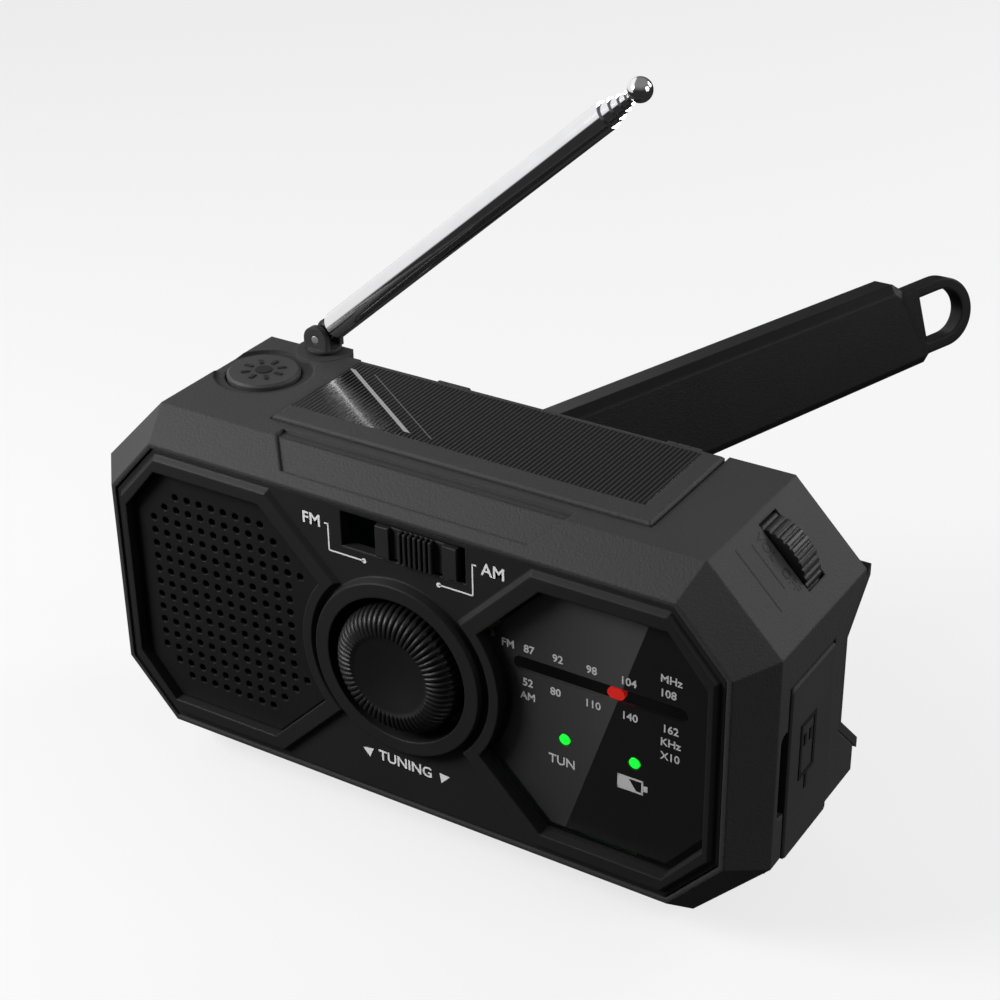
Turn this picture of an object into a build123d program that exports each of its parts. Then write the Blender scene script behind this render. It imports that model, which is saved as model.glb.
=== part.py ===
from build123d import *
import math
import os

# Emergency radio: crank, solar lid, telescopic antenna, tuning dial and lamp.
# Frame: X to the right along the front, Y to the back, Z up, millimetres.  The
# origin is the centre of the case's flat underside; the feet reach lower.

os.makedirs("parts", exist_ok=True)

# ---------------------------------------------------------------- driving sizes
CASE_WIDTH = 160.0
CASE_HEIGHT = 81.0
CASE_DEPTH = 48.5
CORNER_X = 16.1            # straight corner cuts of the octagonal outline
CORNER_Z = 16.5
WALL = 2.4
FRONT_BEVEL = 7.6          # depth of the wide bevel round the front
FACE_HALF_WIDTH = 73.6     # where the front bevel ends at the front face
FACE_HALF_HEIGHT = 34.7
FACE_CUT_X = 11.9
FACE_CUT_Z = 13.1
REAR_COVER = 2.9           # thickness of the rear cover plate
SEAM = 0.25                # gap between fixed neighbours
RUN = 0.35                 # gap between bodies that move past each other
SHAFT_FIT = 0.05           # radial clearance of a shaft in its bearing
FOOT_HEIGHT = 3.5

FRONT_Y = -CASE_DEPTH / 2
REAR_Y = CASE_DEPTH / 2
AXIS_Z = CASE_HEIGHT / 2
HALF_WIDTH = CASE_WIDTH / 2
COVER_Y = REAR_Y - REAR_COVER


def facing_front(y):
    """Plane facing the front at depth y; its local y is height above mid-case."""
    return Plane(origin=(0, y, AXIS_Z), x_dir=(1, 0, 0), z_dir=(0, -1, 0))


def facing_up(z):
    """Horizontal plane at height z, local axes along X and Y."""
    return Plane(origin=(0, 0, z), x_dir=(1, 0, 0), z_dir=(0, 0, 1))


def facing_right(x):
    """Plane facing the right at x; local x runs to the back, local y is up from mid-case."""
    return Plane(origin=(x, 0, AXIS_Z), x_dir=(0, 1, 0), z_dir=(1, 0, 0))


def octagon(half_width, half_height, cut_x, cut_z):
    """Closed outline of a rectangle whose four corners are cut off straight."""
    flat = half_width - cut_x
    wall = half_height - cut_z
    Polyline(
        (flat, half_height), (half_width, wall), (half_width, -wall), (flat, -half_height),
        (-flat, -half_height), (-half_width, -wall), (-half_width, wall), (-flat, half_height),
        close=True,
    )


def write(part, label):
    """Labels a finished piece and writes it under the same name."""
    part.label = label
    export_step(part, f"parts/{label}.step")


# ------------------------------------------------------- front panel and its bays
PANEL_HALF_WIDTH = 72.3
PANEL_HALF_HEIGHT = 33.4
PANEL_CUT_X = 11.2
PANEL_CUT_Z = 12.4
PANEL_THICKNESS = 2.4
PANEL_SINK = 0.4
PANEL_LEDGE = 2.0
PANEL_BACK_Y = FRONT_Y + PANEL_SINK + PANEL_THICKNESS
FRAME_RISE = 1.2
COLLAR_RADIUS = 20.2
COLLAR_RISE = 2.2
WELL_RADIUS = 16.6
WELL_DEPTH = 8.6
WELL_WALL = 1.4
WELL_FLOOR_Y = FRONT_Y + WELL_DEPTH

OPENING_BAY = dict(outer_x=69.3, half_height=28.6, cut_x=8.6, cut_z=10.2, inner_x=33.2, arc=23.8)
FRAME_BAY = dict(outer_x=71.3, half_height=32.3, cut_x=10.6, cut_z=11.8, inner_x=31.0, arc=20.8)


def bay(side, outer_x, half_height, cut_x, cut_z, inner_x, arc):
    """Outline of a display bay on one side of the knob: an octagon whose inner
    end is two 45 degree sides and an arc about the knob's axis."""
    a = inner_x + half_height
    b = (inner_x**2 + half_height**2 - arc**2) / 2
    run = (a - math.sqrt(a * a - 4 * b)) / 2
    meet = (inner_x - run, half_height - run)
    Polyline(
        (side * meet[0], meet[1]), (side * inner_x, half_height),
        (side * (outer_x - cut_x), half_height), (side * outer_x, half_height - cut_z),
        (side * outer_x, cut_z - half_height), (side * (outer_x - cut_x), -half_height),
        (side * inner_x, -half_height), (side * meet[0], -meet[1]),
    )
    ThreePointArc((side * meet[0], -meet[1]), (side * arc, 0), (side * meet[0], meet[1]))


SWITCH_SLOT_WIDTH = 29.4
SWITCH_SLOT_HEIGHT = 8.0
SWITCH_X = 1.4
SWITCH_Z = 28.4
SLIDER_LENGTH = 19.0
SLIDER_HEIGHT = 7.0
SLIDER_BASE_LENGTH = 23.0
SLIDER_BASE_HEIGHT = 8.2
SLIDER_TRAVEL = 6.0
SLIDER_RELIEF = 4.0
SLIDER_X = SWITCH_X + (SWITCH_SLOT_WIDTH - SLIDER_LENGTH) / 2 - 1.6

# ------------------------------------------------------------------- case, front
NOTCH_FLOOR_Y = REAR_Y - 9.5      # finger notches at both ends of the back
NOTCH_HALF_HEIGHT = 10.0
NOTCH_LENGTHS = {-1: 7.5, 1: 17.0}
NOTCH_Z = 1.7                     # above mid-case
NOTCH_SKIN = 1.8
HUB_X = -39.5
HUB_Z = 1.7                       # crank axis, above mid-case

LID_LEFT = -39.2
LID_RIGHT = 49.2
LID_FRONT_Y = FRONT_Y + 13.4
LID_REAR_Y = FRONT_Y + 44.2
LID_THICKNESS = 5.2
LID_PROUD = 0.8
LID_POCKET_Z = CASE_HEIGHT + LID_PROUD - LID_THICKNESS - RUN
LID_TRAY_FLOOR = 1.8
HINGE_Y = FRONT_Y + 45.4
HINGE_KNUCKLE_RADIUS = 1.6
HINGE_Z = CASE_HEIGHT - HINGE_KNUCKLE_RADIUS
HINGE_XS = (-15.7, 39.4)
HINGE_PIN_RADIUS = 0.8
HINGE_LUG_LENGTH = 2.6            # the case's lug, between two knuckles of the lid
HINGE_KNUCKLE_LENGTH = 2.0

THUMB_TOP_HALF = 34.4
THUMB_LOW_HALF = 29.0
THUMB_DEPTH = 0.6
GROOVE_FRONT_Y = FRONT_Y + 8.2
GROOVE_WIDTH = 2.6
GROOVE_DEPTH = 0.7
BEVEL_WIDTH = math.hypot(FRONT_BEVEL, AXIS_Z - FACE_HALF_HEIGHT)

BUTTON_X = -54.4
BUTTON_Y = FRONT_Y + 30.3
BUTTON_RADIUS = 8.0
BUTTON_RING_RADIUS = 10.8
BUTTON_RECESS = 0.8
BUTTON_TRAVEL = 1.0
BUTTON_FLANGE_RADIUS = 8.7
BUTTON_FLANGE_TOP = CASE_HEIGHT - WALL - 2 * RUN

WHEEL_RADIUS = 11.0
WHEEL_WIDTH = 6.6
WHEEL_BULGE = 2.5
WHEEL_Y = FRONT_Y + 30.0
POT_RADIUS = 5.6
POT_FRONT_Y = FRONT_Y + 17.0
POT_BACK_Y = FRONT_Y + 25.5
CORNER_LENGTH = math.hypot(CORNER_X, CORNER_Z)
CORNER_NORMAL = (CORNER_Z / CORNER_LENGTH, CORNER_X / CORNER_LENGTH)
WHEEL_SLOT_CENTRE = (HALF_WIDTH - CORNER_X / 2 - 1.2, CASE_HEIGHT - CORNER_Z / 2 + 1.2)
WHEEL_X = WHEEL_SLOT_CENTRE[0] - CORNER_NORMAL[0] * (WHEEL_RADIUS - WHEEL_BULGE)
WHEEL_Z = WHEEL_SLOT_CENTRE[1] - CORNER_NORMAL[1] * (WHEEL_RADIUS - WHEEL_BULGE)
WHEEL_SLOT_LENGTH = 2 * math.sqrt(WHEEL_RADIUS**2 - (WHEEL_RADIUS - WHEEL_BULGE) ** 2) + 1.8

USB_FRONT_Y = FRONT_Y + 12.2
USB_REAR_Y = FRONT_Y + 32.0
USB_LOW = -25.0                   # from mid-case
USB_HIGH = 15.0
USB_POCKET = 2.6
USB_COVER_PROUD = 0.5
USB_A_Z = -14.0
USB_A_WIDTH = 13.2
USB_A_HEIGHT = 5.8
USB_C_Z = 4.0
USB_C_WIDTH = 9.0
USB_C_HEIGHT = 3.3
USB_Y = (USB_FRONT_Y + USB_REAR_Y) / 2

TORCH_Y = FRONT_Y + 22.0
TORCH_RADIUS = 10.0

ANTENNA_X = -49.7
ANTENNA_Y = FRONT_Y + 46.0
ANTENNA_PIVOT_Z = CASE_HEIGHT + 3.5
ANTENNA_ANGLE = 41.3              # raised, from the X axis
POST_RADIUS = 1.8
BOSS_RADIUS = 6.4
BOSS_REAR_Y = REAR_Y + 0.6
BOSS_TOP_Z = CASE_HEIGHT + 0.1
BOSS_LOW_Z = CASE_HEIGHT - 6.6
BOSS_FLOOR = 1.2

DOOR_LEFT = 3.5
DOOR_RIGHT = 51.0
DOOR_FRONT_Y = FRONT_Y + 8.5
DOOR_REAR_Y = FRONT_Y + 42.5
DOOR_THICKNESS = 1.4

SCREW_INSET_X = 9.8
SCREW_INSET_Z = 14.9
SCREW_X = HALF_WIDTH - SCREW_INSET_X
SCREW_Z = AXIS_Z - SCREW_INSET_Z  # above and below mid-case
SCREW_POSTS = [(side * SCREW_X, level * SCREW_Z) for side in (-1, 1) for level in (-1, 1)]
SCREW_RADIUS = 1.3
SCREW_HEAD_RADIUS = 2.6
SCREW_HEAD_DEPTH = 1.4
SCREW_POST_RADIUS = 4.2
SCREW_POST_LENGTH = 10.0


def notch_outline(grow):
    """Finger notch section seen from the end, grown outwards by a skin."""
    flare = REAR_Y - NOTCH_FLOOR_Y
    slant = grow * (math.sqrt(2) - 1)
    Polyline(
        (NOTCH_FLOOR_Y - grow, NOTCH_Z - NOTCH_HALF_HEIGHT - slant),
        (NOTCH_FLOOR_Y - grow, NOTCH_Z + NOTCH_HALF_HEIGHT + slant),
        (REAR_Y, NOTCH_Z + NOTCH_HALF_HEIGHT + slant + grow + flare),
        (REAR_Y, NOTCH_Z - NOTCH_HALF_HEIGHT - slant - grow - flare),
        close=True,
    )


with BuildPart() as case_front:
    with BuildSketch(facing_front(FRONT_Y)):
        with BuildLine():
            octagon(FACE_HALF_WIDTH, FACE_HALF_HEIGHT, FACE_CUT_X, FACE_CUT_Z)
        make_face()
    with BuildSketch(facing_front(FRONT_Y + FRONT_BEVEL)):
        with BuildLine():
            octagon(HALF_WIDTH, AXIS_Z, CORNER_X, CORNER_Z)
        make_face()
    loft(ruled=True)
    with BuildSketch(facing_front(FRONT_Y + FRONT_BEVEL)):
        with BuildLine():
            octagon(HALF_WIDTH, AXIS_Z, CORNER_X, CORNER_Z)
        make_face()
    extrude(amount=-(COVER_Y - FRONT_Y - FRONT_BEVEL))
    # hollow: a narrow mouth behind the panel ledge, then the full inside
    with BuildSketch(facing_front(PANEL_BACK_Y - 0.01)):
        with BuildLine():
            octagon(PANEL_HALF_WIDTH - PANEL_LEDGE, PANEL_HALF_HEIGHT - PANEL_LEDGE,
                    PANEL_CUT_X, PANEL_CUT_Z)
        make_face()
    with BuildSketch(facing_front(FRONT_Y + FRONT_BEVEL + 1.0)):
        with BuildLine():
            octagon(HALF_WIDTH - WALL, AXIS_Z - WALL, CORNER_X - 1.0, CORNER_Z - 1.0)
        make_face()
    loft(ruled=True, mode=Mode.SUBTRACT)
    with BuildSketch(facing_front(FRONT_Y + FRONT_BEVEL + 0.99)):
        with BuildLine():
            octagon(HALF_WIDTH - WALL, AXIS_Z - WALL, CORNER_X - 1.0, CORNER_Z - 1.0)
        make_face()
    extrude(amount=-CASE_DEPTH, mode=Mode.SUBTRACT)
    # pocket that takes the front panel
    with BuildSketch(facing_front(PANEL_BACK_Y)):
        with BuildLine():
            octagon(PANEL_HALF_WIDTH + SEAM, PANEL_HALF_HEIGHT + SEAM, PANEL_CUT_X, PANEL_CUT_Z)
        make_face()
    extrude(amount=PANEL_THICKNESS + 1.0, mode=Mode.SUBTRACT)
    # relief in the ledge behind the band switch slot
    with BuildSketch(facing_front(PANEL_BACK_Y + SLIDER_RELIEF)):
        with Locations((SLIDER_X - SLIDER_TRAVEL / 2, SWITCH_Z)):
            Rectangle(SLIDER_BASE_LENGTH + SLIDER_TRAVEL + 4 * RUN, SLIDER_BASE_HEIGHT + 4 * RUN)
    extrude(amount=SLIDER_RELIEF, mode=Mode.SUBTRACT)
    # tray under the solar lid, then its pocket, open towards the back
    with BuildSketch(facing_up(LID_POCKET_Z - LID_TRAY_FLOOR)):
        with BuildLine():
            Polyline(
                (LID_LEFT - WALL, LID_FRONT_Y - WALL), (LID_RIGHT + WALL, LID_FRONT_Y - WALL),
                (LID_RIGHT + WALL, COVER_Y), (LID_LEFT - WALL, COVER_Y), close=True,
            )
        make_face()
    extrude(amount=CASE_HEIGHT - LID_POCKET_Z + LID_TRAY_FLOOR - 0.01)
    with BuildSketch(facing_up(LID_POCKET_Z)):
        with BuildLine():
            Polyline(
                (LID_LEFT - RUN, LID_FRONT_Y - RUN), (LID_RIGHT + RUN, LID_FRONT_Y - RUN),
                (LID_RIGHT + RUN, COVER_Y + 1), (LID_LEFT - RUN, COVER_Y + 1), close=True,
            )
        make_face()
    extrude(amount=LID_THICKNESS + 2.0, mode=Mode.SUBTRACT)
    # hinge lugs in the pocket, each between the two knuckles of the lid
    for hinge_x in HINGE_XS:
        lug_front_y = HINGE_Y - HINGE_KNUCKLE_RADIUS
        with BuildSketch(facing_right(hinge_x - HINGE_LUG_LENGTH / 2)):
            with Locations((HINGE_Y, HINGE_Z - AXIS_Z)):
                Circle(HINGE_KNUCKLE_RADIUS)
            with BuildLine():
                Polyline(
                    (lug_front_y, LID_POCKET_Z - AXIS_Z - 0.5), (COVER_Y, LID_POCKET_Z - AXIS_Z - 0.5),
                    (COVER_Y, HINGE_Z - AXIS_Z), (lug_front_y, HINGE_Z - AXIS_Z), close=True,
                )
            make_face()
        extrude(amount=HINGE_LUG_LENGTH)
        with BuildSketch(facing_right(hinge_x - HINGE_LUG_LENGTH)):
            with Locations((HINGE_Y, HINGE_Z - AXIS_Z)):
                Circle(HINGE_PIN_RADIUS)
        extrude(amount=2 * HINGE_LUG_LENGTH, mode=Mode.SUBTRACT)
    # thumb recess on the upper front bevel
    bevel_plane = Plane(
        origin=(0, FRONT_Y + FRONT_BEVEL, CASE_HEIGHT),
        x_dir=(1, 0, 0),
        z_dir=(0, -(AXIS_Z - FACE_HALF_HEIGHT), FRONT_BEVEL),
    )
    with BuildSketch(bevel_plane.offset(-THUMB_DEPTH)):
        with BuildLine():
            Polyline(
                (-THUMB_TOP_HALF, 0.6), (THUMB_TOP_HALF, 0.6),
                (THUMB_LOW_HALF, 2.6 - BEVEL_WIDTH), (-THUMB_LOW_HALF, 2.6 - BEVEL_WIDTH),
                close=True,
            )
        make_face()
    extrude(amount=3.0, mode=Mode.SUBTRACT)
    # finger groove in the top face, just in front of the lid
    with BuildSketch(facing_up(CASE_HEIGHT - GROOVE_DEPTH)):
        with Locations((0, GROOVE_FRONT_Y + GROOVE_WIDTH / 2)):
            Rectangle(2 * THUMB_TOP_HALF, GROOVE_WIDTH)
    extrude(amount=3.0, mode=Mode.SUBTRACT)
    # lamp button: shallow round recess with a well for the rubber cap
    with BuildSketch(facing_up(CASE_HEIGHT - BUTTON_RECESS)):
        with Locations((BUTTON_X, BUTTON_Y)):
            Circle(BUTTON_RING_RADIUS)
    extrude(amount=2.0, mode=Mode.SUBTRACT)
    with BuildSketch(facing_up(CASE_HEIGHT - 3 * WALL)):
        with Locations((BUTTON_X, BUTTON_Y)):
            Circle(BUTTON_RADIUS + RUN)
    extrude(amount=4 * WALL, mode=Mode.SUBTRACT)
    with BuildSketch(facing_up(BUTTON_FLANGE_TOP + RUN)):
        with Locations((BUTTON_X, BUTTON_Y)):
            Circle(BUTTON_FLANGE_RADIUS + RUN)
    extrude(amount=-2 * WALL, mode=Mode.SUBTRACT)
    # slot of the volume wheel, across the upper right corner
    slot_plane = Plane(
        origin=(WHEEL_SLOT_CENTRE[0], WHEEL_Y, WHEEL_SLOT_CENTRE[1]),
        x_dir=(0, 1, 0),
        z_dir=(CORNER_NORMAL[0], 0, CORNER_NORMAL[1]),
    )
    with BuildSketch(slot_plane.offset(-2.5 * WALL)):
        Rectangle(WHEEL_WIDTH + 2 * RUN, WHEEL_SLOT_LENGTH)
    extrude(amount=4 * WALL, mode=Mode.SUBTRACT)
    with BuildSketch(facing_front(WHEEL_Y + WHEEL_WIDTH / 2 + RUN)):
        with Locations((WHEEL_X, WHEEL_Z - AXIS_Z)):
            Circle(WHEEL_RADIUS + RUN)
    extrude(amount=WHEEL_WIDTH + 2 * RUN, mode=Mode.SUBTRACT)
    with BuildSketch(facing_front(POT_BACK_Y + RUN)):
        with Locations((WHEEL_X, WHEEL_Z - AXIS_Z)):
            Circle(POT_RADIUS + RUN)
    extrude(amount=POT_BACK_Y - POT_FRONT_Y + 2 * RUN, mode=Mode.SUBTRACT)
    # pocket and windows of the charging sockets
    with BuildSketch(facing_right(HALF_WIDTH - WALL - 2.0)):
        with Locations((USB_Y, (USB_LOW + USB_HIGH) / 2)):
            Rectangle(USB_REAR_Y - USB_FRONT_Y + 2 * WALL, USB_HIGH - USB_LOW + 2 * WALL)
    extrude(amount=2.2)
    with BuildSketch(facing_right(HALF_WIDTH - USB_POCKET)):
        with Locations((USB_Y, (USB_LOW + USB_HIGH) / 2)):
            Rectangle(USB_REAR_Y - USB_FRONT_Y + 2 * RUN, USB_HIGH - USB_LOW + 2 * RUN)
    extrude(amount=USB_POCKET + 1.0, mode=Mode.SUBTRACT)
    with BuildSketch(facing_right(HALF_WIDTH - USB_POCKET - 3.0)):
        with Locations((USB_Y, USB_A_Z)):
            Rectangle(USB_A_WIDTH + 2 * SEAM, USB_A_HEIGHT + 2 * SEAM)
        with Locations((USB_Y, USB_C_Z)):
            SlotOverall(USB_C_WIDTH + 2 * SEAM, USB_C_HEIGHT + 2 * SEAM)
    extrude(amount=4.0, mode=Mode.SUBTRACT)
    # finger dip beside the socket cover
    with BuildSketch(facing_right(HALF_WIDTH - 1.2)):
        with Locations((USB_FRONT_Y - 1.4, -3.8)):
            SlotOverall(19.6, 3.6, rotation=90)
    extrude(amount=2.0, mode=Mode.SUBTRACT)
    # round mouth of the torch in the left end
    with BuildSketch(facing_right(-HALF_WIDTH - 1)):
        with Locations((TORCH_Y, 0)):
            Circle(TORCH_RADIUS + SEAM)
    extrude(amount=WALL + 2, mode=Mode.SUBTRACT)
    # antenna boss at the rear left corner with its upright bore
    with BuildSketch(facing_up(BOSS_LOW_Z)):
        with Locations((ANTENNA_X, ANTENNA_Y)):
            Circle(BOSS_RADIUS)
        with Locations((ANTENNA_X, BOSS_REAR_Y + BOSS_RADIUS)):
            Rectangle(4 * BOSS_RADIUS, 2 * BOSS_RADIUS, mode=Mode.SUBTRACT)
    extrude(amount=BOSS_TOP_Z - BOSS_LOW_Z)
    with BuildSketch(facing_up(BOSS_LOW_Z + BOSS_FLOOR)):
        with Locations((ANTENNA_X, ANTENNA_Y)):
            Circle(POST_RADIUS + SHAFT_FIT)
    extrude(amount=12.0, mode=Mode.SUBTRACT)
    # battery bay opening in the underside, with a ledge for the door
    with BuildSketch(facing_up(-1)):
        with Locations(((DOOR_LEFT + DOOR_RIGHT) / 2, (DOOR_FRONT_Y + DOOR_REAR_Y) / 2)):
            Rectangle(DOOR_RIGHT - DOOR_LEFT + 2 * RUN, DOOR_REAR_Y - DOOR_FRONT_Y + 2 * RUN)
    extrude(amount=1 + DOOR_THICKNESS + 0.1, mode=Mode.SUBTRACT)
    with BuildSketch(facing_up(-1)):
        with Locations(((DOOR_LEFT + DOOR_RIGHT) / 2, (DOOR_FRONT_Y + DOOR_REAR_Y) / 2)):
            Rectangle(DOOR_RIGHT - DOOR_LEFT - 2.0, DOOR_REAR_Y - DOOR_FRONT_Y - 2.0)
    extrude(amount=2 * WALL, mode=Mode.SUBTRACT)
    # posts that take the cover screws
    with BuildSketch(facing_front(COVER_Y - 0.05)):
        with Locations(*SCREW_POSTS):
            Circle(SCREW_POST_RADIUS)
        with Locations(*SCREW_POSTS):
            Circle(SCREW_RADIUS, mode=Mode.SUBTRACT)
    extrude(amount=SCREW_POST_LENGTH)
    # finger notches at the back of both ends
    for side in (-1, 1):
        with BuildSketch(facing_right(side * HALF_WIDTH)):
            with BuildLine():
                notch_outline(NOTCH_SKIN + SEAM)
            make_face()
        extrude(amount=-side * (NOTCH_LENGTHS[side] + NOTCH_SKIN + SEAM), mode=Mode.SUBTRACT)
write(case_front.part, "case_front")

# -------------------------------------------------------------------- rear cover
HUB_RADIUS = 29.0
HUB_RECESS = 7.6
BEARING_RADIUS = 5.0
CRANK_SHAFT_RADIUS = 3.0
RECESS_FLOOR_Y = REAR_Y - HUB_RECESS
BEARING_FRONT_Y = RECESS_FLOOR_Y - 4.0
COVER_BEVEL = 2.4

BRACKET_THICKNESS = 1.2
GEAR_MODULE = 0.8
CRANK_TEETH = 48
IDLER_SMALL_TEETH = 14
IDLER_LARGE_TEETH = 42
ROTOR_TEETH = 12
CRANK_GEAR_THICKNESS = 3.0
IDLER_GEAR_THICKNESS = 2.5
CRANK_GEAR_BACK_Y = BEARING_FRONT_Y - 0.6
CRANK_GEAR_FRONT_Y = CRANK_GEAR_BACK_Y - CRANK_GEAR_THICKNESS
IDLER_BACK_Y = CRANK_GEAR_FRONT_Y - 0.3
IDLER_FRONT_Y = IDLER_BACK_Y - IDLER_GEAR_THICKNESS
BRACKET_BACK_Y = IDLER_FRONT_Y - 0.5
BRACKET_FRONT_Y = BRACKET_BACK_Y - BRACKET_THICKNESS
BRACKET_POSTS = [(16.0, 16.0), (16.0, -14.0), (-8.0, -21.0)]
BRACKET_POST_RADIUS = 2.6
IDLER_X = HUB_X + GEAR_MODULE * (CRANK_TEETH + IDLER_SMALL_TEETH) / 2
ROTOR_X = IDLER_X + GEAR_MODULE * (IDLER_LARGE_TEETH + ROTOR_TEETH) / 2

with BuildPart() as rear_cover:
    with BuildSketch(facing_front(COVER_Y + 0.05)):
        with BuildLine():
            octagon(HALF_WIDTH - 0.6, AXIS_Z - 0.6, CORNER_X, CORNER_Z)
        make_face()
    extrude(amount=-(REAR_COVER - 0.05))
    chamfer(rear_cover.faces().sort_by(Axis.Y)[-1].edges(), COVER_BEVEL)
    # lip that centres the cover inside the case wall
    with BuildSketch(facing_front(COVER_Y + 0.05)):
        with BuildLine():
            octagon(HALF_WIDTH - WALL - SEAM, AXIS_Z - WALL - SEAM, CORNER_X - 1.0, CORNER_Z - 1.0)
        make_face()
        with BuildLine():
            octagon(HALF_WIDTH - 2 * WALL, AXIS_Z - 2 * WALL, CORNER_X - 1.4, CORNER_Z - 1.4)
        make_face(mode=Mode.SUBTRACT)
    extrude(amount=2.6)
    # the lip and plate give way to the lid tray, the antenna boss and the hinge
    with BuildSketch(facing_up(LID_POCKET_Z - LID_TRAY_FLOOR - SEAM)):
        with Locations(((LID_LEFT + LID_RIGHT) / 2, COVER_Y - 4.95)):
            Rectangle(LID_RIGHT - LID_LEFT + 2 * WALL + 2 * SEAM, 10.0)
    extrude(amount=20.0, mode=Mode.SUBTRACT)
    with BuildSketch(facing_up(HINGE_Z - HINGE_KNUCKLE_RADIUS - RUN)):
        with Locations(((LID_LEFT + LID_RIGHT) / 2, COVER_Y)):
            Rectangle(LID_RIGHT - LID_LEFT, 2 * REAR_COVER + 2)
    extrude(amount=2 * WALL, mode=Mode.SUBTRACT)
    with BuildSketch(facing_front(COVER_Y - 4)):
        with Locations(*SCREW_POSTS):
            Circle(SCREW_POST_RADIUS + SEAM)
    extrude(amount=-4, mode=Mode.SUBTRACT)
    with BuildSketch(facing_up(BOSS_LOW_Z - SEAM)):
        with Locations((ANTENNA_X, ANTENNA_Y)):
            Circle(BOSS_RADIUS + SEAM)
    extrude(amount=20.0, mode=Mode.SUBTRACT)
    # posts that carry the gear bracket
    with BuildSketch(facing_front(COVER_Y + 1.0)):
        with Locations(*BRACKET_POSTS):
            Circle(BRACKET_POST_RADIUS)
    extrude(amount=COVER_Y + 1.0 - BRACKET_BACK_Y)
    # cups that line the finger notches
    for side in (-1, 1):
        notch_length = NOTCH_LENGTHS[side]
        inner_x = side * (HALF_WIDTH - notch_length - NOTCH_SKIN)
        with BuildSketch(facing_right(inner_x)):
            with BuildLine():
                notch_outline(NOTCH_SKIN)
            make_face()
        extrude(amount=side * (notch_length + NOTCH_SKIN - SEAM))
        with BuildSketch(facing_right(side * (HALF_WIDTH - notch_length))):
            with BuildLine():
                notch_outline(0)
            make_face()
        extrude(amount=side * (notch_length + 1), mode=Mode.SUBTRACT)
    # round recess and bearing of the crank hub
    with BuildSketch(facing_front(RECESS_FLOOR_Y - WALL)):
        with Locations((HUB_X, HUB_Z)):
            Circle(HUB_RADIUS + RUN + WALL)
    extrude(amount=-(HUB_RECESS + WALL - 0.01))
    with BuildSketch(facing_front(RECESS_FLOOR_Y)):
        with Locations((HUB_X, HUB_Z)):
            Circle(HUB_RADIUS + RUN)
    extrude(amount=-CASE_DEPTH, mode=Mode.SUBTRACT)
    with BuildSketch(facing_front(RECESS_FLOOR_Y - 0.5)):
        with Locations((HUB_X, HUB_Z)):
            Circle(BEARING_RADIUS)
    extrude(amount=RECESS_FLOOR_Y - 0.5 - BEARING_FRONT_Y)
    with BuildSketch(facing_front(BEARING_FRONT_Y - 1)):
        with Locations((HUB_X, HUB_Z)):
            Circle(CRANK_SHAFT_RADIUS + SHAFT_FIT)
    extrude(amount=-CASE_DEPTH, mode=Mode.SUBTRACT)
    # countersunk screw holes at the four corners
    with BuildSketch(facing_front(COVER_Y - 4)):
        with Locations(*SCREW_POSTS):
            Circle(SCREW_RADIUS + SEAM)
    extrude(amount=-CASE_DEPTH, mode=Mode.SUBTRACT)
    with BuildSketch(facing_front(REAR_Y - SCREW_HEAD_DEPTH)):
        with Locations(*SCREW_POSTS):
            Circle(SCREW_HEAD_RADIUS + SEAM)
    extrude(amount=-3, mode=Mode.SUBTRACT)
write(rear_cover.part, "rear_cover")

# --------------------------------------------- front panel, grille, lens and dial
GRILLE_PITCH = 3.2
GRILLE_HOLE_RADIUS = 0.85
GRILLE_THICKNESS = 1.4
LENS_THICKNESS = 1.5
DIAL_THICKNESS = 0.8
DIAL_GAP = 0.2
POINTER_SLOT_LEFT = 25.2
POINTER_SLOT_RIGHT = 63.5
POINTER_Z = 8.4                   # above mid-case, also the pinion's pitch radius
POINTER_SLOT_HEIGHT = 3.2
POINTER_X = 48.0
LED_TUNED = (36.7, -6.4)
LED_BATTERY = (52.3, -6.3)
LED_RADIUS = 1.2
KNOB_SHAFT_RADIUS = 3.0

with BuildPart() as front_panel:
    with BuildSketch(facing_front(PANEL_BACK_Y)):
        with BuildLine():
            octagon(PANEL_HALF_WIDTH, PANEL_HALF_HEIGHT, PANEL_CUT_X, PANEL_CUT_Z)
        make_face()
    extrude(amount=PANEL_THICKNESS)
    for side in (-1, 1):
        with BuildSketch(facing_front(FRONT_Y + PANEL_SINK)):
            with BuildLine():
                bay(side, **FRAME_BAY)
            make_face()
        extrude(amount=FRAME_RISE, taper=35)
    with BuildSketch(facing_front(FRONT_Y + PANEL_SINK)):
        Circle(COLLAR_RADIUS)
    extrude(amount=COLLAR_RISE, taper=12)
    for side in (-1, 1):
        with BuildSketch(facing_front(FRONT_Y - 3 * FRAME_RISE)):
            with BuildLine():
                bay(side, **OPENING_BAY)
            make_face()
        extrude(amount=-(PANEL_THICKNESS + 5 * FRAME_RISE), mode=Mode.SUBTRACT)
    with BuildSketch(facing_front(WELL_FLOOR_Y)):
        Circle(WELL_RADIUS + WELL_WALL)
    extrude(amount=WELL_DEPTH - PANEL_SINK - 0.5)
    with BuildSketch(facing_front(WELL_FLOOR_Y - WELL_WALL)):
        Circle(WELL_RADIUS)
    extrude(amount=3 * WELL_DEPTH, mode=Mode.SUBTRACT)
    with BuildSketch(facing_front(WELL_FLOOR_Y + 1)):
        Circle(KNOB_SHAFT_RADIUS + SHAFT_FIT)
    extrude(amount=2 * WELL_WALL + 1, mode=Mode.SUBTRACT)
    with BuildSketch(facing_front(FRONT_Y - 3 * FRAME_RISE)):
        with Locations((SWITCH_X, SWITCH_Z)):
            Rectangle(SWITCH_SLOT_WIDTH, SWITCH_SLOT_HEIGHT)
    extrude(amount=-(PANEL_THICKNESS + 5 * FRAME_RISE), mode=Mode.SUBTRACT)
write(front_panel.part, "front_panel")


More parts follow.
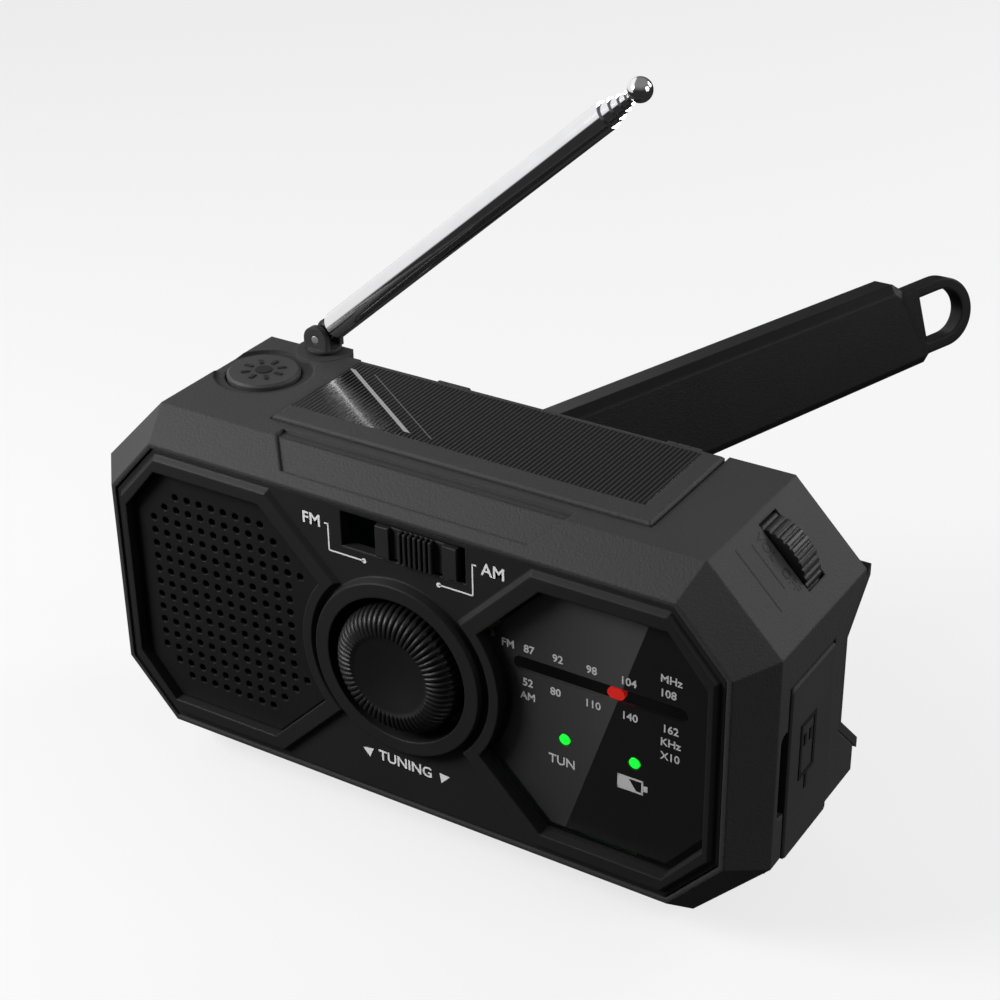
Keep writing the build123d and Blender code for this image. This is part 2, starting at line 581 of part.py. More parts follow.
def shrunk(outline, gap):
    """The same bay, smaller all round by a small gap."""
    return dict(
        outer_x=outline["outer_x"] - gap,
        half_height=outline["half_height"] - gap,
        cut_x=outline["cut_x"],
        cut_z=outline["cut_z"],
        inner_x=outline["inner_x"] + gap * (math.sqrt(2) - 1),
        arc=outline["arc"] + gap,
    )


def in_hole_field(x, z):
    """True where the speaker grille is pierced: the bay less a plain margin."""
    margin = 3.4
    outline = shrunk(OPENING_BAY, margin)
    half = outline["half_height"]
    outer = outline["outer_x"]
    corner = (outline["cut_x"] + outline["cut_z"]) / 2
    inner = outline["inner_x"]
    if abs(z) > half or -x > outer:
        return False
    if (outer + x) + (half - abs(z)) < corner:
        return False
    if (-x - inner) + (half - abs(z)) < 0:
        return False
    return math.hypot(x, z) > outline["arc"] + 0.5


GRILLE_HOLES = [
    (-HALF_WIDTH / 2 - 4.4 + GRILLE_PITCH * column, GRILLE_PITCH * row)
    for column in range(-8, 9)
    for row in range(-8, 9)
    if in_hole_field(-HALF_WIDTH / 2 - 4.4 + GRILLE_PITCH * column, GRILLE_PITCH * row)
]

with BuildPart() as speaker_grille:
    with BuildSketch(facing_front(PANEL_BACK_Y)):
        with BuildLine():
            bay(-1, **shrunk(OPENING_BAY, SEAM))
        make_face()
        with Locations(*GRILLE_HOLES):
            Circle(GRILLE_HOLE_RADIUS, mode=Mode.SUBTRACT)
    extrude(amount=GRILLE_THICKNESS)
write(speaker_grille.part, "speaker_grille")

with BuildPart() as dial_window:
    with BuildSketch(facing_front(PANEL_BACK_Y)):
        with BuildLine():
            bay(1, **shrunk(OPENING_BAY, SEAM))
        make_face()
    extrude(amount=LENS_THICKNESS)
write(dial_window.part, "dial_window")

DIAL_FRONT_Y = PANEL_BACK_Y + DIAL_GAP
DIAL_BACK_Y = DIAL_FRONT_Y + DIAL_THICKNESS
with BuildPart() as dial_scale:
    with BuildSketch(facing_front(DIAL_BACK_Y)):
        with BuildLine():
            bay(1, **shrunk(OPENING_BAY, 1.0))
        make_face()
        slot_middle = (POINTER_SLOT_LEFT + POINTER_SLOT_RIGHT) / 2
        with Locations((slot_middle, POINTER_Z)):
            SlotOverall(POINTER_SLOT_RIGHT - POINTER_SLOT_LEFT, POINTER_SLOT_HEIGHT,
                        mode=Mode.SUBTRACT)
        with Locations(LED_TUNED, LED_BATTERY):
            Circle(LED_RADIUS + SEAM, mode=Mode.SUBTRACT)
    extrude(amount=DIAL_THICKNESS)
write(dial_scale.part, "dial_scale")

# --------------------------------------------------- tuning knob, rack and pointer
KNOB_RADIUS = 14.6
KNOB_FACE_RADIUS = 12.4
KNOB_FRONT = 4.6                  # how far the knob stands in front of the face
KNOB_DISH_RADIUS = 9.4
KNOB_DISH_DEPTH = 1.3
KNOB_FLUTES = 60
KNOB_BACK_Y = WELL_FLOOR_Y - WELL_WALL - RUN
RACK_MODULE = 0.7
PINION_TEETH = 24
PINION_RADIUS = RACK_MODULE * PINION_TEETH / 2
RACK_LAYER = 2.4
PINION_FRONT_Y = WELL_FLOOR_Y + RUN
PINION_BACK_Y = PINION_FRONT_Y + RACK_LAYER
RACK_HEIGHT = 3.0
RACK_TOOTH_LEFT = -16.5
RACK_TOOTH_RIGHT = 24.0
BOARD_FRONT_Y = PINION_BACK_Y + 1.4
BOARD_THICKNESS = 1.6
BOARD_BACK_Y = BOARD_FRONT_Y + BOARD_THICKNESS
CAPACITOR_SIZE = 20.0
CAPACITOR_DEPTH = 7.6


def gear_points(centre, teeth, module, turn):
    """Corners of a spur gear with straight-sided teeth and generous backlash."""
    root = module * (teeth / 2 - 1.15)
    tip = module * (teeth / 2 + 0.8)
    pitch = 360 / teeth
    points = []
    for tooth in range(teeth):
        middle = turn + tooth * pitch
        for radius, share in ((root, -0.30), (tip, -0.12), (tip, 0.12), (root, 0.30)):
            angle = math.radians(middle + share * pitch)
            points.append((centre[0] + radius * math.cos(angle),
                           centre[1] + radius * math.sin(angle)))
    return points


def rack_points(left, right, pitch_line, module, height):
    """Outline of a rack over a pinion, teeth downwards, with a gap at x = 0."""
    pitch = math.pi * module
    low = pitch_line - 0.8 * module
    root = pitch_line + 1.15 * module
    first = math.ceil((left + 0.5 * pitch) / pitch)
    last = math.floor((right - 0.5 * pitch) / pitch)
    points = [(left, root)]
    for tooth in range(first, last):
        middle = (tooth + 0.5) * pitch
        for level, share in ((root, -0.30), (low, -0.12), (low, 0.12), (root, 0.30)):
            points.append((middle + share * pitch, level))
    points += [(right, root), (right, root + height), (left, root + height)]
    return points


with BuildPart() as tuning_knob:
    with BuildSketch(Plane(origin=(0, 0, AXIS_Z), x_dir=(1, 0, 0), z_dir=(0, 0, 1))):
        with BuildLine():
            face_y = FRONT_Y - KNOB_FRONT
            dish = (KNOB_DISH_RADIUS**2 + KNOB_DISH_DEPTH**2) / (2 * KNOB_DISH_DEPTH)
            Polyline(
                (KNOB_DISH_RADIUS, face_y), (KNOB_FACE_RADIUS, face_y),
                (KNOB_RADIUS, FRONT_Y + 1.0), (KNOB_RADIUS, KNOB_BACK_Y), (0, KNOB_BACK_Y),
                (0, face_y + KNOB_DISH_DEPTH),
            )
            RadiusArc((0, face_y + KNOB_DISH_DEPTH), (KNOB_DISH_RADIUS, face_y), dish)
        make_face()
    revolve(axis=Axis((0, 0, AXIS_Z), (0, 1, 0)))
    with BuildSketch(facing_front(FRONT_Y - KNOB_FRONT - 1)):
        with PolarLocations(KNOB_RADIUS + 0.15, KNOB_FLUTES):
            Circle(0.45)
    extrude(amount=-(KNOB_FRONT + 5.0), mode=Mode.SUBTRACT)
write(tuning_knob.part, "tuning_knob")

with BuildPart() as tuning_shaft:
    with BuildSketch(facing_front(BOARD_BACK_Y - 0.2)):
        Circle(KNOB_SHAFT_RADIUS)
    extrude(amount=BOARD_BACK_Y - 0.2 - KNOB_BACK_Y)
write(tuning_shaft.part, "tuning_shaft")

with BuildPart() as tuning_pinion:
    with BuildSketch(facing_front(PINION_BACK_Y)):
        with BuildLine():
            Polyline(*gear_points((0, 0), PINION_TEETH, RACK_MODULE, 90), close=True)
        make_face()
        Circle(KNOB_SHAFT_RADIUS, mode=Mode.SUBTRACT)
    extrude(amount=RACK_LAYER)
write(tuning_pinion.part, "tuning_pinion")

with BuildPart() as dial_rack:
    with BuildSketch(facing_front(PINION_BACK_Y)):
        with BuildLine():
            Polyline(*rack_points(RACK_TOOTH_LEFT, RACK_TOOTH_RIGHT, PINION_RADIUS,
                                  RACK_MODULE, RACK_HEIGHT), close=True)
        make_face()
        rack_root = PINION_RADIUS + 1.15 * RACK_MODULE
        with Locations(((RACK_TOOTH_RIGHT + POINTER_X) / 2, rack_root + RACK_HEIGHT / 2)):
            Rectangle(POINTER_X - RACK_TOOTH_RIGHT + 2.0, RACK_HEIGHT)
    extrude(amount=RACK_LAYER)
write(dial_rack.part, "dial_rack")

with BuildPart() as dial_pointer:
    with BuildSketch(facing_front(PINION_FRONT_Y)):
        with Locations((POINTER_X, POINTER_Z + 1.6)):
            Rectangle(2.0, 5.2)
    extrude(amount=1.2)
    with BuildSketch(facing_front(PINION_FRONT_Y - 0.6)):
        with Locations((POINTER_X, POINTER_Z)):
            Rectangle(2.0, 1.6)
    extrude(amount=PINION_FRONT_Y - 0.6 - DIAL_BACK_Y)
    with BuildSketch(facing_front(DIAL_BACK_Y + 0.4)):
        with Locations((POINTER_X, POINTER_Z)):
            SlotOverall(3.8, 2.4)
    extrude(amount=DIAL_THICKNESS + 0.3)
write(dial_pointer.part, "dial_pointer")

with BuildPart() as indicator_leds:
    with BuildSketch(facing_front(BOARD_FRONT_Y)):
        with Locations(LED_TUNED, LED_BATTERY):
            Circle(LED_RADIUS)
    extrude(amount=BOARD_FRONT_Y - DIAL_FRONT_Y - 0.1)
write(indicator_leds.part, "indicator_leds")

# ------------------------------------------------------------------- band switch
SLIDER_BASE_Y = PANEL_BACK_Y + RUN
with BuildPart() as band_slider:
    with BuildSketch(facing_front(SLIDER_BASE_Y + 1.2)):
        with Locations((SLIDER_X, SWITCH_Z)):
            Rectangle(SLIDER_BASE_LENGTH, SLIDER_BASE_HEIGHT)
    extrude(amount=1.2)
    with BuildSketch(facing_front(SLIDER_BASE_Y)):
        with Locations((SLIDER_X, SWITCH_Z)):
            Rectangle(SLIDER_LENGTH, SLIDER_HEIGHT)
    extrude(amount=SLIDER_BASE_Y - FRONT_Y - 0.6)
    for rib in range(7):
        with BuildSketch(facing_front(FRONT_Y + 0.7)):
            with Locations((SLIDER_X - 3.6 + 1.2 * rib, SWITCH_Z)):
                Rectangle(0.6, SLIDER_HEIGHT)
        extrude(amount=1.5)
    with BuildSketch(facing_front(FRONT_Y + 0.7)):
        for end in (-1, 1):
            with Locations((SLIDER_X + end * (SLIDER_LENGTH / 2 - 1.6), SWITCH_Z)):
                Rectangle(3.2, SLIDER_HEIGHT)
    extrude(amount=1.1)
write(band_slider.part, "band_slider")

with BuildPart() as band_switch:
    with BuildSketch(facing_front(BOARD_FRONT_Y)):
        with Locations((SLIDER_X - SLIDER_TRAVEL / 2, SWITCH_Z - 4.4)):
            Rectangle(16.0, 5.0)
    extrude(amount=BOARD_FRONT_Y - SLIDER_BASE_Y - 1.2 - RUN)
write(band_switch.part, "band_switch")

# ------------------------------------------------------------- boards and radio
BOARD_INSET_RIGHT = 14.0
BOARD_INSET_TOP = 13.5
BOARD_INSET_LOW = 15.0
BOARD_LEFT = -20.5
BOARD_RIGHT = HALF_WIDTH - BOARD_INSET_RIGHT
BOARD_TOP = AXIS_Z - BOARD_INSET_TOP
BOARD_LOW = BOARD_INSET_LOW - AXIS_Z
with BuildPart() as main_board:
    with BuildSketch(facing_front(BOARD_BACK_Y)):
        with Locations(((BOARD_LEFT + BOARD_RIGHT) / 2, (BOARD_TOP + BOARD_LOW) / 2)):
            Rectangle(BOARD_RIGHT - BOARD_LEFT, BOARD_TOP - BOARD_LOW)
        Circle(KNOB_SHAFT_RADIUS + 0.6, mode=Mode.SUBTRACT)
    extrude(amount=BOARD_THICKNESS)
write(main_board.part, "main_board")

with BuildPart() as tuning_capacitor:
    with BuildSketch(facing_front(BOARD_BACK_Y + CAPACITOR_DEPTH)):
        RectangleRounded(CAPACITOR_SIZE, CAPACITOR_SIZE, 1.5)
    extrude(amount=CAPACITOR_DEPTH)
write(tuning_capacitor.part, "tuning_capacitor")

with BuildPart() as audio_chips:
    with BuildSketch(facing_front(BOARD_BACK_Y + 1.6)):
        with Locations((24, 10), (24, -8), (44, -14)):
            Rectangle(9.0, 6.0)
    extrude(amount=1.6)
write(audio_chips.part, "audio_chips")

with BuildPart() as smoothing_capacitors:
    with BuildSketch(facing_front(BOARD_BACK_Y + 9.0)):
        with Locations((40, 12), (40, 2), (56, -2)):
            Circle(4.0)
    extrude(amount=9.0)
write(smoothing_capacitors.part, "smoothing_capacitors")

ROD_Y = FRONT_Y + 22.5
ROD_Z = 26.0                      # above mid-case
ROD_LEFT = -12.0
ROD_RIGHT = 48.0
ROD_RADIUS = 3.6
COIL_RADIUS = 4.8
with BuildPart() as ferrite_rod:
    with BuildSketch(facing_right(ROD_LEFT)):
        with Locations((ROD_Y, ROD_Z)):
            Circle(ROD_RADIUS)
    extrude(amount=ROD_RIGHT - ROD_LEFT)
write(ferrite_rod.part, "ferrite_rod")

with BuildPart() as aerial_coil:
    with BuildSketch(facing_right(6.0)):
        with Locations((ROD_Y, ROD_Z)):
            Circle(COIL_RADIUS)
            Circle(ROD_RADIUS, mode=Mode.SUBTRACT)
    extrude(amount=26.0)
write(aerial_coil.part, "aerial_coil")

# ----------------------------------------------------------------------- speaker
SPEAKER_X = -48.5
SPEAKER_RADIUS = 18.0
SPEAKER_FRONT_Y = PANEL_BACK_Y + 0.4
SPEAKER_DEPTH = 10.0
MAGNET_RADIUS = 9.0
MAGNET_DEPTH = 5.0
speaker_profile_plane = Plane(origin=(SPEAKER_X, 0, AXIS_Z), x_dir=(1, 0, 0), z_dir=(0, 0, 1))
speaker_axis = Axis((SPEAKER_X, 0, AXIS_Z), (0, 1, 0))
with BuildPart() as speaker_basket:
    with BuildSketch(speaker_profile_plane):
        with BuildLine():
            rim_y = SPEAKER_FRONT_Y
            Polyline(
                (SPEAKER_RADIUS - 2.0, rim_y), (SPEAKER_RADIUS, rim_y),
                (SPEAKER_RADIUS, rim_y + 1.4), (SPEAKER_RADIUS - 1.4, rim_y + 1.4),
                (MAGNET_RADIUS, rim_y + SPEAKER_DEPTH), (0, rim_y + SPEAKER_DEPTH),
                (0, rim_y + SPEAKER_DEPTH - 1.2), (MAGNET_RADIUS - 1, rim_y + SPEAKER_DEPTH - 1.2),
                (SPEAKER_RADIUS - 2.0, rim_y + 1.0), close=True,
            )
        make_face()
    revolve(axis=speaker_axis)
write(speaker_basket.part, "speaker_basket")

with BuildPart() as speaker_cone:
    with BuildSketch(speaker_profile_plane):
        with BuildLine():
            Polyline(
                (0, rim_y + 5.4), (5.4, rim_y + 6.6), (SPEAKER_RADIUS - 5.0, rim_y + 1.2),
                (SPEAKER_RADIUS - 3.4, rim_y + 0.5), (SPEAKER_RADIUS - 2.25, rim_y + 1.0),
                (SPEAKER_RADIUS - 3.2, rim_y + 1.3), (SPEAKER_RADIUS - 4.8, rim_y + 1.9),
                (5.4, rim_y + 7.3), (0, rim_y + 6.1), close=True,
            )
        make_face()
    revolve(axis=speaker_axis)
write(speaker_cone.part, "speaker_cone")

with BuildPart() as speaker_magnet:
    with BuildSketch(Plane(origin=(SPEAKER_X, rim_y + SPEAKER_DEPTH, AXIS_Z),
                           x_dir=(1, 0, 0), z_dir=(0, 1, 0))):
        Circle(MAGNET_RADIUS)
    extrude(amount=MAGNET_DEPTH)
write(speaker_magnet.part, "speaker_magnet")

# ------------------------------------------------- volume wheel and its control
POT_SHAFT_RADIUS = 2.0
POT_BORE_DEPTH = 5.0
WHEEL_FLUTES = 44
wheel_centre = (WHEEL_X, WHEEL_Z - AXIS_Z)
with BuildPart() as volume_wheel:
    with BuildSketch(facing_front(WHEEL_Y + WHEEL_WIDTH / 2)):
        with Locations(wheel_centre):
            Circle(WHEEL_RADIUS)
            with PolarLocations(WHEEL_RADIUS + 0.1, WHEEL_FLUTES):
                Circle(0.42, mode=Mode.SUBTRACT)
    extrude(amount=WHEEL_WIDTH)
    with BuildSketch(facing_front(WHEEL_Y)):
        with Locations(wheel_centre):
            Circle(POT_SHAFT_RADIUS)
    extrude(amount=WHEEL_Y - POT_BACK_Y + POT_BORE_DEPTH - RUN)
write(volume_wheel.part, "volume_wheel")

with BuildPart() as volume_pot:
    with BuildSketch(facing_front(POT_BACK_Y)):
        with Locations(wheel_centre):
            Circle(POT_RADIUS)
    extrude(amount=POT_BACK_Y - POT_FRONT_Y)
    with BuildSketch(facing_front(POT_BACK_Y)):
        with Locations(wheel_centre):
            Circle(POT_SHAFT_RADIUS + SHAFT_FIT)
    extrude(amount=POT_BORE_DEPTH, mode=Mode.SUBTRACT)
    for lead in range(3):
        with BuildSketch(facing_front(POT_FRONT_Y + 0.5)):
            with Locations((WHEEL_X - 4.0 + 2.0 * lead, BOARD_TOP - 1.5)):
                Rectangle(0.8, 0.8)
        extrude(amount=POT_FRONT_Y + 0.5 - BOARD_BACK_Y)
write(volume_pot.part, "volume_pot")

# ---------------------------------------------------------- lamp button, switch
BUTTON_PROUD = 0.4
BUTTON_FLANGE = 1.2
SWITCH_BODY = 7.0
SWITCH_BODY_HEIGHT = 4.0
with BuildPart() as lamp_button:
    with BuildSketch(facing_up(BUTTON_FLANGE_TOP)):
        with Locations((BUTTON_X, BUTTON_Y)):
            Circle(BUTTON_RADIUS)
    extrude(amount=CASE_HEIGHT + BUTTON_PROUD - BUTTON_FLANGE_TOP)
    chamfer(lamp_button.faces().sort_by(Axis.Z)[-1].edges(), 0.5)
    with BuildSketch(facing_up(BUTTON_FLANGE_TOP - BUTTON_FLANGE)):
        with Locations((BUTTON_X, BUTTON_Y)):
            Circle(BUTTON_FLANGE_RADIUS)
    extrude(amount=BUTTON_FLANGE)
write(lamp_button.part, "lamp_button")

with BuildPart() as button_switch:
    switch_top_z = BUTTON_FLANGE_TOP - BUTTON_FLANGE - BUTTON_TRAVEL - RUN
    with BuildSketch(facing_up(switch_top_z - SWITCH_BODY_HEIGHT)):
        with Locations((BUTTON_X, BUTTON_Y)):
            Rectangle(SWITCH_BODY, SWITCH_BODY)
    extrude(amount=SWITCH_BODY_HEIGHT)
    with BuildSketch(facing_up(switch_top_z - SWITCH_BODY_HEIGHT - 1.6)):
        with Locations((BUTTON_X, BUTTON_Y)):
            Rectangle(2.6 * SWITCH_BODY, 1.8 * SWITCH_BODY)
    extrude(amount=1.6)
write(button_switch.part, "button_switch")

# -------------------------------------------------------------------- solar lid
LID_TOP_Z = CASE_HEIGHT + LID_PROUD
LID_WALL = 1.6
LID_PLATE = 1.3
CELL_LEFT = -38.1
CELL_RIGHT = 44.8
CELL_FRONT_Y = FRONT_Y + 19.1
CELL_REAR_Y = FRONT_Y + 42.8
CELL_THICKNESS = 0.8
CELL_SINK = 0.1
LAMP_GAP = 0.2
LAMP_BOARD = 1.0
LAMP_LENS = 1.4
lid_middle = ((LID_LEFT + LID_RIGHT) / 2, (LID_FRONT_Y + LID_REAR_Y) / 2)
cell_middle = ((CELL_LEFT + CELL_RIGHT) / 2, (CELL_FRONT_Y + CELL_REAR_Y) / 2)
lid_inside = (LID_RIGHT - LID_LEFT - 2 * LID_WALL, LID_REAR_Y - LID_FRONT_Y - 2 * LID_WALL)
lid_plate_low_z = LID_TOP_Z - CELL_THICKNESS - CELL_SINK - LID_PLATE
with BuildPart() as lid_frame:
    with BuildSketch(facing_up(LID_TOP_Z - LID_THICKNESS)):
        with Locations(lid_middle):
            Rectangle(LID_RIGHT - LID_LEFT, LID_REAR_Y - LID_FRONT_Y)
    extrude(amount=LID_THICKNESS)
    chamfer(lid_frame.faces().sort_by(Axis.Z)[-1].edges(), 0.5)
    with BuildSketch(facing_up(LID_TOP_Z - CELL_THICKNESS - CELL_SINK)):
        with Locations(cell_middle):
            Rectangle(CELL_RIGHT - CELL_LEFT + 2 * SEAM, CELL_REAR_Y - CELL_FRONT_Y + 2 * SEAM)
    extrude(amount=2 * CELL_THICKNESS, mode=Mode.SUBTRACT)
    with BuildSketch(facing_up(LID_TOP_Z - LID_THICKNESS - 1)):
        with Locations(lid_middle):
            Rectangle(*lid_inside)
    extrude(amount=lid_plate_low_z - LID_TOP_Z + LID_THICKNESS + 1, mode=Mode.SUBTRACT)
    # room for the case lugs, then the knuckles each side of them
    for hinge_x in HINGE_XS:
        knuckle_span = HINGE_LUG_LENGTH + 2 * RUN
        with BuildSketch(facing_up(LID_TOP_Z - LID_THICKNESS - 1)):
            with Locations((hinge_x, HINGE_Y)):
                Rectangle(knuckle_span, 2 * (HINGE_KNUCKLE_RADIUS + RUN))
        extrude(amount=2 * LID_THICKNESS, mode=Mode.SUBTRACT)
        for side in (-1, 1):
            near = hinge_x + side * knuckle_span / 2
            with BuildSketch(facing_right(near)):
                with Locations((HINGE_Y, HINGE_Z - AXIS_Z)):
                    Circle(HINGE_KNUCKLE_RADIUS)
                with Locations((HINGE_Y - HINGE_KNUCKLE_RADIUS / 2, HINGE_Z - AXIS_Z)):
                    Rectangle(HINGE_KNUCKLE_RADIUS, 2 * HINGE_KNUCKLE_RADIUS)
            extrude(amount=side * HINGE_KNUCKLE_LENGTH)
        with BuildSketch(facing_right(hinge_x - knuckle_span / 2 - HINGE_KNUCKLE_LENGTH - 1)):
            with Locations((HINGE_Y, HINGE_Z - AXIS_Z)):
                Circle(HINGE_PIN_RADIUS + SHAFT_FIT)
        extrude(amount=knuckle_span + 2 * HINGE_KNUCKLE_LENGTH + 2, mode=Mode.SUBTRACT)
write(lid_frame.part, "lid_frame")

with BuildPart() as hinge_pins:
    for hinge_x in HINGE_XS:
        pin_half = HINGE_LUG_LENGTH / 2 + RUN + HINGE_KNUCKLE_LENGTH
        with BuildSketch(facing_right(hinge_x - pin_half)):
            with Locations((HINGE_Y, HINGE_Z - AXIS_Z)):
                Circle(HINGE_PIN_RADIUS)
        extrude(amount=2 * pin_half)
write(hinge_pins.part, "hinge_pins")

with BuildPart() as solar_cell:
    with BuildSketch(facing_up(LID_TOP_Z - CELL_SINK - CELL_THICKNESS)):
        with Locations(cell_middle):
            Rectangle(CELL_RIGHT - CELL_LEFT, CELL_REAR_Y - CELL_FRONT_Y)
    extrude(amount=CELL_THICKNESS)
write(solar_cell.part, "solar_cell")

with BuildPart() as lamp_strip:
    with BuildSketch(facing_up(lid_plate_low_z - LAMP_BOARD)):
        with Locations(lid_middle):
            Rectangle(lid_inside[0] - 12.0, lid_inside[1] - 12.0)
    extrude(amount=LAMP_BOARD)
write(lamp_strip.part, "lamp_strip")

with BuildPart() as lamp_lens:
    with BuildSketch(facing_up(lid_plate_low_z - LAMP_BOARD - LAMP_GAP - LAMP_LENS)):
        with Locations(lid_middle):
            Rectangle(lid_inside[0] - 2 * SEAM, lid_inside[1] - 2 * SEAM)
    extrude(amount=LAMP_LENS)
write(lamp_lens.part, "lamp_lens")

# ------------------------------------------------------- charging sockets, cover
USB_BOARD_X = 66.6
USB_BOARD_THICKNESS = 1.6
with BuildPart() as usb_cover:
    with BuildSketch(facing_right(HALF_WIDTH - USB_POCKET + SEAM)):
        with Locations((USB_Y, (USB_LOW + USB_HIGH) / 2)):
            RectangleRounded(USB_REAR_Y - USB_FRONT_Y, USB_HIGH - USB_LOW, 1.2)
    extrude(amount=USB_POCKET - SEAM + USB_COVER_PROUD)
    chamfer(usb_cover.faces().sort_by(Axis.X)[-1].edges(), 0.4)
write(usb_cover.part, "usb_cover")

with BuildPart() as usb_board:
    with BuildSketch(facing_right(USB_BOARD_X)):
        with Locations((USB_Y + 0.9, (USB_A_Z + USB_C_Z) / 2)):
            Rectangle(16.0, 34.0)
    extrude(amount=USB_BOARD_THICKNESS)
write(usb_board.part, "usb_board")

with BuildPart() as usb_sockets:
    socket_base_x = USB_BOARD_X + USB_BOARD_THICKNESS
    socket_length = HALF_WIDTH - USB_POCKET - 0.2 - socket_base_x
    with BuildSketch(facing_right(socket_base_x)):
        with Locations((USB_Y, USB_A_Z)):
            Rectangle(USB_A_WIDTH, USB_A_HEIGHT)
        with Locations((USB_Y, USB_C_Z)):
            SlotOverall(USB_C_WIDTH, USB_C_HEIGHT)
    extrude(amount=socket_length)
    with BuildSketch(facing_right(socket_base_x + 1.5)):
        with Locations((USB_Y, USB_A_Z)):
            Rectangle(USB_A_WIDTH - 0.8, USB_A_HEIGHT - 0.8)
            with Locations((0, 0.9)):
                Rectangle(USB_A_WIDTH - 2.2, 1.4, mode=Mode.SUBTRACT)
        with Locations((USB_Y, USB_C_Z)):
            SlotOverall(USB_C_WIDTH - 0.6, USB_C_HEIGHT - 0.6)
            Rectangle(USB_C_WIDTH - 2.6, 0.7, mode=Mode.SUBTRACT)
    extrude(amount=socket_length, mode=Mode.SUBTRACT)
write(usb_sockets.part, "usb_sockets")

# ------------------------------------------------------------------- torch, left
TORCH_LENS = 1.6
TORCH_CONE_LENGTH = 10.0
TORCH_THROAT_RADIUS = 3.2
TORCH_SHELL = 0.8
torch_axis = Axis((0, TORCH_Y, AXIS_Z), (1, 0, 0))
torch_plane = Plane(origin=(0, TORCH_Y, AXIS_Z), x_dir=(1, 0, 0), z_dir=(0, 0, 1))
torch_cone_x = -HALF_WIDTH + TORCH_LENS + 0.1
with BuildPart() as torch_lens:
    with BuildSketch(facing_right(-HALF_WIDTH)):
        with Locations((TORCH_Y, 0)):
            Circle(TORCH_RADIUS)
    extrude(amount=TORCH_LENS)
write(torch_lens.part, "torch_lens")

with BuildPart() as torch_reflector:
    with BuildSketch(torch_plane):
        with BuildLine():
            cone_end_x = torch_cone_x + TORCH_CONE_LENGTH
            Polyline(
                (torch_cone_x, TORCH_RADIUS - TORCH_SHELL), (torch_cone_x, TORCH_RADIUS),
                (torch_cone_x + 0.6 * TORCH_CONE_LENGTH, TORCH_RADIUS * 0.72 + TORCH_SHELL),
                (cone_end_x, TORCH_THROAT_RADIUS + TORCH_SHELL), (cone_end_x, TORCH_THROAT_RADIUS),
                (torch_cone_x + 0.6 * TORCH_CONE_LENGTH, TORCH_RADIUS * 0.72), close=True,
            )
        make_face()
    revolve(axis=torch_axis)
write(torch_reflector.part, "torch_reflector")

with BuildPart() as torch_board:
    with BuildSketch(facing_right(cone_end_x + 0.2)):
        with Locations((TORCH_Y, 0)):
            Circle(TORCH_RADIUS * 0.7)
    extrude(amount=1.4)
    with BuildSketch(facing_right(cone_end_x + 0.2)):
        with Locations((TORCH_Y, 0)):
            Circle(TORCH_THROAT_RADIUS - 0.7)
    extrude(amount=-3.0)
write(torch_board.part, "torch_board")

# ---------------------------------------------------------------------- antenna
FORK_RADIUS = 3.0
FORK_INNER = 1.8
FORK_OUTER = 3.2
TONGUE_HALF = 1.5
TONGUE_RADIUS = 1.9
POST_CAP_RADIUS = 3.9
POST_CAP = 0.7
ANTENNA_PIN_RADIUS = 0.9
TUBE_START = 4.6
TUBE_RADII = (3.0, 2.45, 1.95, 1.5, 1.05)
TUBE_ENDS = (94.0, 96.4, 98.4, 100.0, 101.4)
TUBE_BASE_STEP = 3.0
TIP_RADIUS = 2.5
TIP_CENTRE = 103.0
with BuildPart() as antenna_post:
    post_cap_z = BOSS_TOP_Z + RUN
    with BuildSketch(facing_up(BOSS_LOW_Z + BOSS_FLOOR + RUN)):
        with Locations((ANTENNA_X, ANTENNA_Y)):
            Circle(POST_RADIUS)
    extrude(amount=post_cap_z - BOSS_LOW_Z - BOSS_FLOOR)
    with BuildSketch(facing_up(post_cap_z)):
        with Locations((ANTENNA_X, ANTENNA_Y)):
            Circle(POST_CAP_RADIUS)
        with Locations((ANTENNA_X, ANTENNA_Y + FORK_OUTER + POST_CAP_RADIUS)):
            Rectangle(4 * POST_CAP_RADIUS, 2 * POST_CAP_RADIUS, mode=Mode.SUBTRACT)
    extrude(amount=POST_CAP)
    for side in (-1, 1):
        ear_y = ANTENNA_Y + (FORK_OUTER if side > 0 else -FORK_INNER)
        with BuildSketch(facing_front(ear_y)):
            with Locations((ANTENNA_X, ANTENNA_PIVOT_Z - AXIS_Z)):
                Circle(FORK_RADIUS)
            ear_low = post_cap_z + POST_CAP / 2 - AXIS_Z
            ear_high = ANTENNA_PIVOT_Z - AXIS_Z
            with Locations((ANTENNA_X, (ear_low + ear_high) / 2)):
                Rectangle(2 * FORK_RADIUS, ear_high - ear_low)
        extrude(amount=FORK_OUTER - FORK_INNER)
    with BuildSketch(facing_front(ANTENNA_Y + 2 * FORK_OUTER)):
        with Locations((ANTENNA_X, ANTENNA_PIVOT_Z - AXIS_Z)):
            Circle(ANTENNA_PIN_RADIUS)
    extrude(amount=4 * FORK_OUTER, mode=Mode.SUBTRACT)
write(antenna_post.part, "antenna_post")

with BuildPart() as antenna_pin:
    with BuildSketch(facing_front(ANTENNA_Y + FORK_OUTER)):
        with Locations((ANTENNA_X, ANTENNA_PIVOT_Z - AXIS_Z)):
            Circle(ANTENNA_PIN_RADIUS)
    extrude(amount=2 * FORK_OUTER)
write(antenna_pin.part, "antenna_pin")

